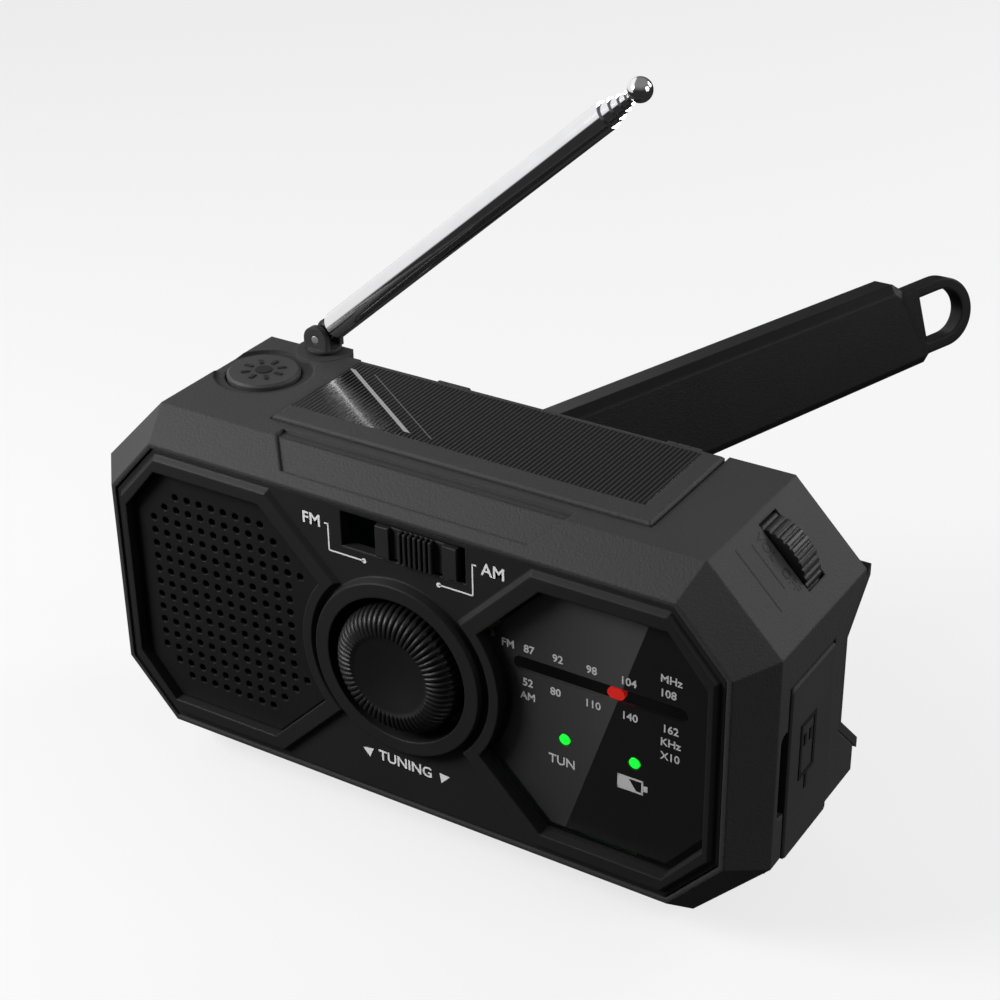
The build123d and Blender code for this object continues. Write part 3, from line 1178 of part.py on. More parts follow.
antenna_turn = math.radians(ANTENNA_ANGLE)
antenna_dir = (math.cos(antenna_turn), 0, math.sin(antenna_turn))
antenna_plane = Plane(
    origin=(ANTENNA_X, ANTENNA_Y, ANTENNA_PIVOT_Z), x_dir=(0, 1, 0), z_dir=antenna_dir
)
with BuildPart() as antenna_base:
    with BuildSketch(facing_front(ANTENNA_Y + TONGUE_HALF)):
        with Locations((ANTENNA_X, ANTENNA_PIVOT_Z - AXIS_Z)):
            Circle(TONGUE_RADIUS)
            with Locations(Location((0, 0), ANTENNA_ANGLE)):
                with Locations((TUBE_START / 2 + 0.5, 0)):
                    Rectangle(TUBE_START + 1.0, 2 * TONGUE_RADIUS)
    extrude(amount=2 * TONGUE_HALF)
    with BuildSketch(facing_front(ANTENNA_Y + FORK_OUTER)):
        with Locations((ANTENNA_X, ANTENNA_PIVOT_Z - AXIS_Z)):
            Circle(ANTENNA_PIN_RADIUS + SHAFT_FIT)
    extrude(amount=2 * FORK_OUTER, mode=Mode.SUBTRACT)
    with BuildSketch(antenna_plane.offset(TUBE_START)):
        Circle(TUBE_RADII[0])
    extrude(amount=TUBE_ENDS[0] - TUBE_START)
    with BuildSketch(antenna_plane.offset(TUBE_START + TUBE_BASE_STEP - 0.5)):
        Circle(TUBE_RADII[1] + SHAFT_FIT)
    extrude(amount=TUBE_ENDS[0], mode=Mode.SUBTRACT)
write(antenna_base.part, "antenna_base")

for stage in range(1, len(TUBE_RADII)):
    stage_start = TUBE_START + stage * TUBE_BASE_STEP
    with BuildPart() as antenna_stage:
        with BuildSketch(antenna_plane.offset(stage_start)):
            Circle(TUBE_RADII[stage])
        extrude(amount=TUBE_ENDS[stage] - stage_start)
        if stage + 1 < len(TUBE_RADII):
            with BuildSketch(antenna_plane.offset(stage_start + TUBE_BASE_STEP - 0.5)):
                Circle(TUBE_RADII[stage + 1] + SHAFT_FIT)
            extrude(amount=TUBE_ENDS[stage], mode=Mode.SUBTRACT)
    write(antenna_stage.part, f"antenna_stage_{stage}")

with BuildPart() as antenna_tip:
    with Locations(antenna_plane.offset(TIP_CENTRE).location):
        Sphere(TIP_RADIUS)
    with BuildSketch(antenna_plane):
        Circle(TUBE_RADII[-1])
    extrude(amount=TUBE_ENDS[-1], mode=Mode.SUBTRACT)
write(antenna_tip.part, "antenna_tip")

# ------------------------------------------------------------------ crank, gears
HUB_TURN = 15.0                   # the hub stands a little round from level
PIN_REACH = 22.0
PIN_STANDOFF = 6.5                # fold pin behind the rear face
PIN_Y = REAR_Y + PIN_STANDOFF
ARM_OPEN = 60.5                   # arm opened from flat, towards the back
HUB_BACK_Y = REAR_Y + 0.4
HUB_FRONT_Y = RECESS_FLOOR_Y + RUN
EAR_RADIUS = 4.4
EAR_INNER = 7.35
EAR_OUTER = 11.8
CRANK_PIN_RADIUS = 1.6
ARM_KNUCKLE_HALF = 7.0
ARM_HALF_THICKNESS = 5.5
ARM_START = 6.3
ARM_BASE_HALF = 12.3
ARM_TIP_HALF = 10.9
ARM_END_UPPER = 120.0
ARM_END_LOWER = 125.4
ARM_BEVEL = 2.0
LOOP_END = 141.0
LOOP_MIDDLE = -1.3
LOOP_RIM = 2.7
LOOP_HALF = 8.6
LOOP_HALF_THICKNESS = 2.2

hub_cos = math.cos(math.radians(HUB_TURN))
hub_sin = math.sin(math.radians(HUB_TURN))
pin_point = (HUB_X + PIN_REACH * hub_cos, PIN_Y, AXIS_Z + HUB_Z + PIN_REACH * hub_sin)
pin_dir = (-hub_sin, 0, hub_cos)
open_cos = math.cos(math.radians(ARM_OPEN))
open_sin = math.sin(math.radians(ARM_OPEN))
arm_dir = (open_cos * hub_cos, open_sin, open_cos * hub_sin)
arm_face = (open_sin * hub_cos, -open_cos, open_sin * hub_sin)
ear_plane = Plane(origin=pin_point, x_dir=(hub_cos, 0, hub_sin), z_dir=pin_dir)
knuckle_plane = Plane(origin=pin_point, x_dir=arm_dir, z_dir=pin_dir)
arm_plane = Plane(origin=pin_point, x_dir=arm_dir, z_dir=arm_face)

with BuildPart() as crank_hub:
    with BuildSketch(facing_front(HUB_BACK_Y)):
        with Locations((HUB_X, HUB_Z)):
            Circle(HUB_RADIUS)
    extrude(amount=HUB_BACK_Y - HUB_FRONT_Y)
    with BuildSketch(facing_front(HUB_BACK_Y)):
        with Locations((HUB_X, HUB_Z)):
            Circle(HUB_RADIUS - 1.6)
            Circle(HUB_RADIUS - 3.0, mode=Mode.SUBTRACT)
    extrude(amount=0.6, mode=Mode.SUBTRACT)
    with BuildSketch(facing_front(HUB_FRONT_Y + 1)):
        with Locations((HUB_X, HUB_Z)):
            Circle(CRANK_SHAFT_RADIUS)
    extrude(amount=HUB_FRONT_Y + 1 - CRANK_GEAR_FRONT_Y)
    for start in (EAR_INNER, -EAR_OUTER):
        with BuildSketch(ear_plane.offset(start)):
            Circle(EAR_RADIUS)
            with Locations((0, (HUB_BACK_Y - 1 - PIN_Y) / 2)):
                Rectangle(2 * EAR_RADIUS, PIN_Y - HUB_BACK_Y + 1)
        extrude(amount=EAR_OUTER - EAR_INNER)
    with BuildSketch(ear_plane.offset(-EAR_OUTER - 1)):
        Circle(CRANK_PIN_RADIUS)
    extrude(amount=2 * EAR_OUTER + 2, mode=Mode.SUBTRACT)
write(crank_hub.part, "crank_hub")

with BuildPart() as crank_pin:
    with BuildSketch(ear_plane.offset(-EAR_OUTER)):
        Circle(CRANK_PIN_RADIUS)
    extrude(amount=2 * EAR_OUTER)
write(crank_pin.part, "crank_pin")

with BuildPart() as crank_arm:
    with BuildSketch(arm_plane.offset(-ARM_HALF_THICKNESS)):
        with BuildLine():
            Polyline(
                (ARM_START, -ARM_BASE_HALF), (ARM_END_LOWER - 2.0, -ARM_TIP_HALF),
                (ARM_END_LOWER, 1.6 - ARM_TIP_HALF), (ARM_END_UPPER + 0.8, ARM_TIP_HALF - 2.4),
                (ARM_END_UPPER - 1.6, ARM_TIP_HALF), (ARM_START, ARM_BASE_HALF), close=True,
            )
        make_face()
    extrude(amount=2 * ARM_HALF_THICKNESS)
    arm_faces = crank_arm.faces().sort_by(Axis(pin_point, arm_face))
    chamfer(arm_faces[0].edges() + arm_faces[-1].edges(), ARM_BEVEL)
    with BuildSketch(knuckle_plane.offset(-ARM_KNUCKLE_HALF)):
        Circle(ARM_HALF_THICKNESS)
        with Locations((ARM_START / 2 + 1, 0)):
            Rectangle(ARM_START + 2, 2 * ARM_HALF_THICKNESS)
    extrude(amount=2 * ARM_KNUCKLE_HALF)
    with BuildSketch(knuckle_plane.offset(-EAR_OUTER)):
        Circle(CRANK_PIN_RADIUS + SHAFT_FIT)
    extrude(amount=2 * EAR_OUTER, mode=Mode.SUBTRACT)
    loop_root = ARM_END_UPPER - 4.0
    with BuildSketch(arm_plane.offset(-LOOP_HALF_THICKNESS)):
        with BuildLine():
            Polyline(
                (loop_root, LOOP_MIDDLE - LOOP_HALF), (loop_root, LOOP_MIDDLE + LOOP_HALF),
                (LOOP_END - LOOP_HALF, LOOP_MIDDLE + LOOP_HALF),
            )
            ThreePointArc(
                (LOOP_END - LOOP_HALF, LOOP_MIDDLE + LOOP_HALF), (LOOP_END, LOOP_MIDDLE),
                (LOOP_END - LOOP_HALF, LOOP_MIDDLE - LOOP_HALF),
            )
            Line((LOOP_END - LOOP_HALF, LOOP_MIDDLE - LOOP_HALF), (loop_root, LOOP_MIDDLE - LOOP_HALF))
        make_face()
    extrude(amount=2 * LOOP_HALF_THICKNESS)
    inner_half = LOOP_HALF - LOOP_RIM
    loop_inner = ARM_END_LOWER + 1.0
    with BuildSketch(arm_plane.offset(-2 * LOOP_HALF_THICKNESS)):
        with BuildLine():
            Polyline(
                (loop_inner, LOOP_MIDDLE - inner_half), (loop_inner, LOOP_MIDDLE + inner_half),
                (LOOP_END - LOOP_HALF, LOOP_MIDDLE + inner_half),
            )
            ThreePointArc(
                (LOOP_END - LOOP_HALF, LOOP_MIDDLE + inner_half), (LOOP_END - LOOP_RIM, LOOP_MIDDLE),
                (LOOP_END - LOOP_HALF, LOOP_MIDDLE - inner_half),
            )
            Line((LOOP_END - LOOP_HALF, LOOP_MIDDLE - inner_half), (loop_inner, LOOP_MIDDLE - inner_half))
        make_face()
    extrude(amount=4 * LOOP_HALF_THICKNESS, mode=Mode.SUBTRACT)
write(crank_arm.part, "crank_arm")

IDLER_AXLE_RADIUS = 1.2
ROTOR_SHAFT_RADIUS = 1.0
GENERATOR_RADIUS = 13.0
GENERATOR_DEPTH = 5.8
GENERATOR_BORE_DEPTH = 4.0
with BuildPart() as crank_gear:
    with BuildSketch(facing_front(CRANK_GEAR_BACK_Y)):
        with BuildLine():
            Polyline(*gear_points((HUB_X, HUB_Z), CRANK_TEETH, GEAR_MODULE, 0), close=True)
        make_face()
        with Locations((HUB_X, HUB_Z)):
            Circle(CRANK_SHAFT_RADIUS, mode=Mode.SUBTRACT)
            with PolarLocations(11.0, 6):
                Circle(3.6, mode=Mode.SUBTRACT)
    extrude(amount=CRANK_GEAR_THICKNESS)
write(crank_gear.part, "crank_gear")

with BuildPart() as idler_gear:
    with BuildSketch(facing_front(IDLER_BACK_Y)):
        with BuildLine():
            Polyline(*gear_points((IDLER_X, HUB_Z), IDLER_LARGE_TEETH, GEAR_MODULE, 0), close=True)
        make_face()
    extrude(amount=IDLER_GEAR_THICKNESS)
    with BuildSketch(facing_front(CRANK_GEAR_BACK_Y)):
        with BuildLine():
            half_tooth = 180 / IDLER_SMALL_TEETH
            Polyline(*gear_points((IDLER_X, HUB_Z), IDLER_SMALL_TEETH, GEAR_MODULE, half_tooth),
                     close=True)
        make_face()
    extrude(amount=CRANK_GEAR_BACK_Y - IDLER_BACK_Y)
    with BuildSketch(facing_front(CRANK_GEAR_BACK_Y + 1)):
        with Locations((IDLER_X, HUB_Z)):
            Circle(IDLER_AXLE_RADIUS + SHAFT_FIT)
    extrude(amount=CASE_DEPTH / 2, mode=Mode.SUBTRACT)
write(idler_gear.part, "idler_gear")

with BuildPart() as generator_rotor:
    with BuildSketch(facing_front(IDLER_BACK_Y)):
        with BuildLine():
            Polyline(*gear_points((ROTOR_X, HUB_Z), ROTOR_TEETH, GEAR_MODULE, 180 / ROTOR_TEETH),
                     close=True)
        make_face()
    extrude(amount=IDLER_GEAR_THICKNESS)
    with BuildSketch(facing_front(IDLER_BACK_Y - 1)):
        with Locations((ROTOR_X, HUB_Z)):
            Circle(ROTOR_SHAFT_RADIUS)
    extrude(amount=IDLER_BACK_Y - 1 - BRACKET_FRONT_Y + GENERATOR_BORE_DEPTH - RUN)
write(generator_rotor.part, "generator_rotor")

with BuildPart() as generator:
    with BuildSketch(facing_front(BRACKET_FRONT_Y)):
        with Locations((ROTOR_X, HUB_Z)):
            Circle(GENERATOR_RADIUS)
    extrude(amount=GENERATOR_DEPTH)
    chamfer(generator.faces().sort_by(Axis.Y)[0].edges(), 0.8)
    with BuildSketch(facing_front(BRACKET_FRONT_Y)):
        with Locations((ROTOR_X, HUB_Z)):
            Circle(ROTOR_SHAFT_RADIUS + SHAFT_FIT)
    extrude(amount=GENERATOR_BORE_DEPTH, mode=Mode.SUBTRACT)
write(generator.part, "generator")

with BuildPart() as gear_bracket:
    with BuildSketch(facing_front(BRACKET_BACK_Y)):
        with BuildLine():
            Polyline(
                (-19.5, 8.0), (11.0, 20.0), (20.0, 20.0), (20.0, -18.0), (-6.0, -25.0),
                (-12.0, -25.0), (-19.5, -6.0), close=True,
            )
        make_face()
        with Locations((ROTOR_X, HUB_Z)):
            Circle(2 * ROTOR_SHAFT_RADIUS, mode=Mode.SUBTRACT)
    extrude(amount=BRACKET_THICKNESS)
    with BuildSketch(facing_front(CRANK_GEAR_BACK_Y + 0.3)):
        with Locations((IDLER_X, HUB_Z)):
            Circle(IDLER_AXLE_RADIUS)
    extrude(amount=CRANK_GEAR_BACK_Y + 0.3 - BRACKET_BACK_Y)
write(gear_bracket.part, "gear_bracket")

# ----------------------------------------------------- battery, door, feet, screws
CELL_DIAMETER = 10.5
BATTERY_LENGTH = 44.5
BATTERY_X = (DOOR_LEFT + DOOR_RIGHT) / 2
BATTERY_Y = (DOOR_FRONT_Y + DOOR_REAR_Y) / 2
BATTERY_Z = WALL + 0.6 + CELL_DIAMETER / 2
with BuildPart() as battery_pack:
    with BuildSketch(facing_right(BATTERY_X - BATTERY_LENGTH / 2)):
        for cell in (-1, 0, 1):
            with Locations((BATTERY_Y + cell * (CELL_DIAMETER - 0.1), BATTERY_Z - AXIS_Z)):
                Circle(CELL_DIAMETER / 2)
        with Locations((BATTERY_Y, BATTERY_Z - AXIS_Z)):
            Rectangle(2 * CELL_DIAMETER, CELL_DIAMETER - 1.6)
    extrude(amount=BATTERY_LENGTH)
write(battery_pack.part, "battery_pack")

with BuildPart() as battery_door:
    with BuildSketch(facing_up(0)):
        with Locations((BATTERY_X, BATTERY_Y)):
            Rectangle(DOOR_RIGHT - DOOR_LEFT, DOOR_REAR_Y - DOOR_FRONT_Y)
    extrude(amount=DOOR_THICKNESS)
    door_front = battery_door.edges().filter_by(Axis.X).group_by(Axis.Y)[0]
    fillet(door_front, DOOR_THICKNESS / 2 - 0.05)
    for rib in range(4):
        with BuildSketch(facing_up(0)):
            with Locations((BATTERY_X, DOOR_REAR_Y - 4.0 - 2.0 * rib)):
                Rectangle(14.0, 0.9)
        extrude(amount=0.5, mode=Mode.SUBTRACT)
write(battery_door.part, "battery_door")

FOOT_FRONT_Y = FRONT_Y + 29.0
FOOT_REAR_Y = FRONT_Y + 41.0
PAD_INSET = 23.5
PAD_X = HALF_WIDTH - PAD_INSET
PAD_Y = FRONT_Y + 16.0
PAD_RADIUS = 3.2
FOOT_OUTER_INSET = 10.0
FOOT_LENGTH = 17.0
FOOT_OUTER_X = HALF_WIDTH - FOOT_OUTER_INSET
FOOT_INNER_X = FOOT_OUTER_X - FOOT_LENGTH
FOOT_WRAP = 3.6
with BuildPart() as rubber_feet:
    corner_x = HALF_WIDTH - CORNER_X
    wrap_rise = FOOT_WRAP * CORNER_Z / CORNER_X
    for side in (-1, 1):
        with BuildSketch(facing_front(FOOT_REAR_Y)):
            with BuildLine():
                Polyline(
                    (side * FOOT_INNER_X, -AXIS_Z), (side * corner_x, -AXIS_Z),
                    (side * (corner_x + FOOT_WRAP), wrap_rise - AXIS_Z),
                    (side * FOOT_OUTER_X, 1.4 - AXIS_Z),
                    (side * (FOOT_OUTER_X - 0.6), -FOOT_HEIGHT + 1.6 - AXIS_Z),
                    (side * (FOOT_OUTER_X - 2.8), -FOOT_HEIGHT - AXIS_Z),
                    (side * (FOOT_INNER_X + 2.0), -FOOT_HEIGHT - AXIS_Z),
                    (side * FOOT_INNER_X, -FOOT_HEIGHT + 2.0 - AXIS_Z), close=True,
                )
            make_face()
        extrude(amount=FOOT_REAR_Y - FOOT_FRONT_Y)
    with BuildSketch(facing_up(-FOOT_HEIGHT)):
        with Locations((-PAD_X, PAD_Y), (PAD_X, PAD_Y)):
            Circle(PAD_RADIUS)
    extrude(amount=FOOT_HEIGHT)
write(rubber_feet.part, "rubber_feet")

SCREW_LENGTH = 9.0
with BuildPart() as case_screws:
    with BuildSketch(facing_front(REAR_Y - 0.2)):
        with Locations(*SCREW_POSTS):
            Circle(SCREW_HEAD_RADIUS)
    extrude(amount=SCREW_HEAD_DEPTH - 0.25)
    with BuildSketch(facing_front(REAR_Y - SCREW_HEAD_DEPTH / 2)):
        with Locations(*SCREW_POSTS):
            Circle(SCREW_RADIUS - 0.05)
    extrude(amount=SCREW_LENGTH)
    with BuildSketch(facing_front(REAR_Y - 0.2)):
        with Locations(*SCREW_POSTS):
            Rectangle(3.6, 0.8)
            Rectangle(0.8, 3.6)
    extrude(amount=0.7, mode=Mode.SUBTRACT)
write(case_screws.part, "case_screws")
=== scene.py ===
import math

import bmesh
import bpy
import numpy as np
from mathutils import Matrix, Vector


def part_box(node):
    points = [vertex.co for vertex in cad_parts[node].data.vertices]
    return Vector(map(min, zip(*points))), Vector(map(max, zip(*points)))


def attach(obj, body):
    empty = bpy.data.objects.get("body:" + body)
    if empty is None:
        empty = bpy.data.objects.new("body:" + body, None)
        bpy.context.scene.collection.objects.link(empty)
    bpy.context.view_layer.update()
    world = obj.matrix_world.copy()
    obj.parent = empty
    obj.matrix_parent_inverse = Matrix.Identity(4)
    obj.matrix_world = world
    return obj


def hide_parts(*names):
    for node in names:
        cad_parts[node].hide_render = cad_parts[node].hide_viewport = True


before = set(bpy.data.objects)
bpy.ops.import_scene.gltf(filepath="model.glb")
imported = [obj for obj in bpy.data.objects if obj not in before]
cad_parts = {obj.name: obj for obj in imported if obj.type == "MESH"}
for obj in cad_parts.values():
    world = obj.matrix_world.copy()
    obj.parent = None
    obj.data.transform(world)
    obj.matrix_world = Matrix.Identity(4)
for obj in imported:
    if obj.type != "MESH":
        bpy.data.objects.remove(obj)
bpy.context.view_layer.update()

# Front and rear case halves.  Moulded black ABS with a fine spark-eroded grain,
# slightly rubbed on the faces a hand holds.  The rear half is screwed on from
# behind and carries the recess of the crank hub.


class Field:
    """A shader socket that takes Python arithmetic: each sign adds one Math node."""

    def __init__(self, tree, socket):
        self.tree = tree
        self.socket = socket

    def math(self, operation, *values):
        return Nodes(self.tree).node("ShaderNodeMath", {"operation": operation}, dict(enumerate(values)))

    def __add__(self, other):
        return self.math("ADD", self, other)

    def __radd__(self, other):
        return self.math("ADD", other, self)

    def __sub__(self, other):
        return self.math("SUBTRACT", self, other)

    def __rsub__(self, other):
        return self.math("SUBTRACT", other, self)

    def __mul__(self, other):
        return self.math("MULTIPLY", self, other)

    def __rmul__(self, other):
        return self.math("MULTIPLY", other, self)

    def __truediv__(self, other):
        return self.math("DIVIDE", self, other)

    def __rtruediv__(self, other):
        return self.math("DIVIDE", other, self)

    def below(self, limit):
        return self.math("LESS_THAN", self, limit)

    def above(self, limit):
        return self.math("GREATER_THAN", self, limit)

    def between(self, low, high):
        return self.above(low) * self.below(high)

    def clipped(self):
        """Held between 0 and 1."""
        return self.math("MINIMUM", self.math("MAXIMUM", self, 0.0), 1.0)

    def whole(self):
        """The whole number below."""
        return self.math("FLOOR", self)

    def sine(self):
        return self.math("SINE", self)


class Nodes:
    """A node tree that grows node by node."""

    def __init__(self, tree):
        self.tree = tree

    def node(self, kind, settings=None, inputs=None, out=0):
        """A node of any kind; its settings go first, then its sockets."""
        made = self.tree.nodes.new(kind)
        for key, value in (settings or {}).items():
            setattr(made, key, value)
        for key, value in (inputs or {}).items():
            if isinstance(value, Field):
                self.tree.links.new(value.socket, made.inputs[key])
            else:
                made.inputs[key].default_value = value
        return Field(self.tree, made.outputs[out])

    def parts(self, vector):
        """The x, y and z of a vector."""
        first = self.node("ShaderNodeSeparateXYZ", inputs={0: vector})
        return [Field(self.tree, socket) for socket in first.socket.node.outputs]


class Finish(Nodes):
    """One material: the constant sockets of its shader, and nodes added one by one."""

    def __init__(self, name, **constants):
        self.material = bpy.data.materials.new(name)
        self.material.use_nodes = True
        super().__init__(self.material.node_tree)
        self.shader = self.tree.nodes["Principled BSDF"]
        for key, value in constants.items():
            self.shader.inputs[key.replace("_", " ")].default_value = value

    def feed(self, socket, value):
        self.tree.links.new(value.socket, self.shader.inputs[socket])

    def place(self):
        """Position on the piece, in metres."""
        return self.node("ShaderNodeTexCoord", out=3)

    def axes(self):
        return self.parts(self.place())

    def noise(self, size, detail=2.0, roughness=0.5):
        """Noise whose lumps are about `size` metres across."""
        return self.node(
            "ShaderNodeTexNoise",
            inputs={"Vector": self.place(), "Scale": 1 / size, "Detail": detail, "Roughness": roughness},
        )

    def blend(self, factor, low, high):
        """Colour that goes from low to high with a factor."""
        return self.node(
            "ShaderNodeMix", {"data_type": "RGBA"},
            {0: factor, 6: (*low, 1), 7: (*high, 1)}, out=2,
        )

    def bump(self, height, depth, edge=0.0003):
        """Normals rounded over edges by a radius, then bent by a height field whose
        full depth is given.  Both are in metres."""
        rounded = self.node("ShaderNodeBevel", {"samples": 4}, {"Radius": edge})
        self.feed("Normal", self.node(
            "ShaderNodeBump", inputs={"Height": height, "Distance": depth, "Normal": rounded}))


HAND_MARKS = 0.028


def moulded(name, low, high, roughness, grain=0.0004, depth=0.00004, gloss=0.3, edge=0.0004):
    """Moulded plastic: even colour with faint handling marks over a fine grain."""
    finish = Finish(name, Specular_IOR_Level=gloss)
    marks = finish.noise(HAND_MARKS, detail=5.0, roughness=0.6)
    grains = finish.noise(grain)
    finish.feed("Base Color", finish.blend(marks, low, high))
    finish.feed("Roughness", (roughness - 0.07) + marks * 0.10 + grains * 0.06)
    finish.bump(grains, depth, edge)
    return finish


def paint(finish, slot, *nodes):
    """Gives CAD nodes a finish."""
    for name in nodes:
        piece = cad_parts[name]
        piece.data.materials.clear()
        piece.data.materials.append(finish.material)


case_plastic = moulded("case ABS", (0.020, 0.020, 0.0205), (0.026, 0.026, 0.0265), 0.60,
                       gloss=0.18, grain=0.0005, depth=0.00010, edge=0.0007)
paint(case_plastic, "case_black", "case_front", "lid_frame", "battery_door", "antenna_post")
cover_plastic = moulded("rear ABS", (0.014, 0.014, 0.015), (0.020, 0.020, 0.021), 0.55)
paint(cover_plastic, "case_black", "rear_cover", "crank_hub")

# Front panel with its two raised bay rims and the collar round the knob, and the
# pierced speaker grille behind the left bay.  Same ABS, smoother and darker than
# the case; the panel is set in the case's ledge.
panel_plastic = moulded("panel ABS", (0.0095, 0.0095, 0.0098), (0.0125, 0.0125, 0.0130), 0.46,
                        gloss=0.16, grain=0.0003, depth=0.00002, edge=0.0005)
paint(panel_plastic, "case_black", "front_panel")
grille_plastic = moulded("grille ABS", (0.005, 0.005, 0.0052), (0.007, 0.007, 0.0073), 0.5, gloss=0.16)
paint(grille_plastic, "case_black", "speaker_grille")

# White lettering on the panel: pad-printed paint a few hundredths of a millimetre
# thick, with the band names, the switch leaders and the tuning arrows.
# The places are in millimetres from the middle of the knob, which is at mid-case.
PRINT_THICK = 0.00006
CAP_SHARE = 0.72
BOLDER = 0.022
WELD = 1e-7
PANEL_SINK = 0.0004
case_low, case_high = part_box("case_front")
knob_low, knob_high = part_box("tuning_knob")
MID_Z = (knob_low.z + knob_high.z) / 2
panel_face = (0, case_low.y + PANEL_SINK, MID_Z)


def printed(name, colour, painted_glow=0.0):
    """Opaque printing ink, a little uneven where the pad lifted, with a painted glow in its own colour if
    one is given.
    """
    painted_glow_inputs = {"Emission_Color": (*colour, 1), "Emission_Strength": painted_glow} if painted_glow else {}
    ink = Finish(name, Roughness=0.6, Specular_IOR_Level=0.2, **painted_glow_inputs)
    speckle = ink.noise(0.00025, detail=3.0)
    ink.feed("Base Color", ink.blend(speckle, [0.86 * c for c in colour], colour))
    return ink


def riding(name, mesh, body, finish):
    """A mesh as a finished piece that moves with a body."""
    mesh.materials.clear()
    mesh.materials.append(finish.material)
    piece = bpy.data.objects.new(name, mesh)
    bpy.context.scene.collection.objects.link(piece)
    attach(piece, body)
    return piece


def sealed(mesh, outward=False):
    """The mesh with its doubled points joined, and its faces turned outward if asked."""
    work = bmesh.new()
    work.from_mesh(mesh)
    bmesh.ops.remove_doubles(work, verts=work.verts, dist=WELD)
    if outward:
        bmesh.ops.recalc_face_normals(work, faces=work.faces)
    work.to_mesh(mesh)
    work.free()
    return mesh


def letters(name, words, height, origin, across, up, body, finish):
    """Words set flat: a letter's point (a, b) lands at origin + a * across + b * up,
    lifted by the ink's thickness along across x up.  The height is that of a capital."""
    curve = bpy.data.curves.new(name, "FONT")
    curve.body = words
    curve.size = height / CAP_SHARE
    curve.align_x = "CENTER"
    curve.align_y = "CENTER"
    curve.extrude = PRINT_THICK / 2
    curve.offset = height * BOLDER
    curve.resolution_u = 3
    holder = bpy.data.objects.new(name, curve)
    bpy.context.scene.collection.objects.link(holder)
    bpy.context.view_layer.update()
    shape = bpy.data.meshes.new_from_object(holder.evaluated_get(bpy.context.evaluated_depsgraph_get()))
    bpy.data.objects.remove(holder)
    out = Vector(across).cross(Vector(up))
    turn = Matrix((Vector(across), Vector(up), out)).transposed().to_4x4()
    turn.translation = Vector(origin) + out * PRINT_THICK / 2
    shape.transform(turn)
    return riding(name, sealed(shape), body, finish)


def strips(name, outlines, origin, across, up, body, finish, thick=PRINT_THICK):
    """Flat printed shapes: each closed outline of (a, b) in millimetres becomes a thin
    plate at origin + a * across + b * up, as thick as the ink along across x up."""
    vertices, faces = [], []
    grid = np.array((across, up), float)
    lift = np.cross(*grid) * thick
    for outline in outlines:
        flat = np.array(outline, float)
        ahead = np.roll(flat, -1, axis=0)
        if (flat[:, 0] * ahead[:, 1] - ahead[:, 0] * flat[:, 1]).sum() < 0:
            flat = flat[::-1]
        ring = np.array(origin, float) + flat / 1000 @ grid
        top = len(vertices) + np.arange(len(ring))
        under = top + len(ring)
        sides = np.stack([top, under, np.roll(under, -1), np.roll(top, -1)], axis=1)
        vertices += (ring + lift).tolist() + ring.tolist()
        faces += [top.tolist(), under[::-1].tolist()] + sides.tolist()
    mesh = bpy.data.meshes.new(name)
    mesh.from_pydata(vertices, [], faces)
    return riding(name, mesh, body, finish)


def bar(a, b, width):
    """Outline of a straight stroke from a to b."""
    a, b = np.array([a, b], float)
    run = b - a
    side = np.array([-run[1], run[0]]) / np.hypot(*run) * width / 2
    return [a - side, b - side, b + side, a + side]


def spot(x, z, radius, sides=20):
    """Outline of a round dot: sides points at even angles."""
    angle = np.linspace(0, 2 * math.pi, sides, endpoint=False)
    return np.stack([x + radius * np.cos(angle), z + radius * np.sin(angle)], axis=1)


def words_on(face, pattern, rows, ink):
    """Rows of words, x, z and capital height, in millimetres from the face's origin.
    The pattern makes a row's name from its words and its x."""
    for words, x, z, height in rows:
        letters(pattern.format(words, x), words, height / 1000, (x / 1000, face[1], face[2] + z / 1000),
                RIGHT, UPWARD, "case", ink)


RIGHT = (1, 0, 0)
UPWARD = (0, 0, 1)
LEADER = 0.3
SWITCH_DOT = 0.55
white_ink = printed("white ink", (0.62, 0.62, 0.62))
words_on(panel_face, "panel_{}", (
    ("FM", -20.6, 28.3, 2.7), ("AM", 22.4, 28.9, 2.7), ("TUNING", 0.0, -24.4, 2.5),
), white_ink)
strips("switch_leaders", [
    bar((-17.4, 28.4), (-16.4, 28.4), LEADER), bar((-16.5, 28.4), (-16.5, 22.4), LEADER),
    bar((-16.5, 22.4), (-8.0, 22.4), LEADER), spot(-8.0, 22.4, SWITCH_DOT),
    bar((18.6, 29.3), (17.6, 29.3), LEADER), bar((17.7, 29.3), (17.7, 22.3), LEADER),
    bar((17.7, 22.3), (9.8, 22.3), LEADER), spot(9.8, 22.3, SWITCH_DOT),
], panel_face, RIGHT, UPWARD, "case", white_ink)
strips("tuning_arrows", [
    [(-10.6, -23.8), (-8.0, -23.4), (-9.0, -25.7)],
    [(8.5, -23.4), (11.0, -23.6), (8.9, -25.8)],
], panel_face, RIGHT, UPWARD, "case", white_ink)
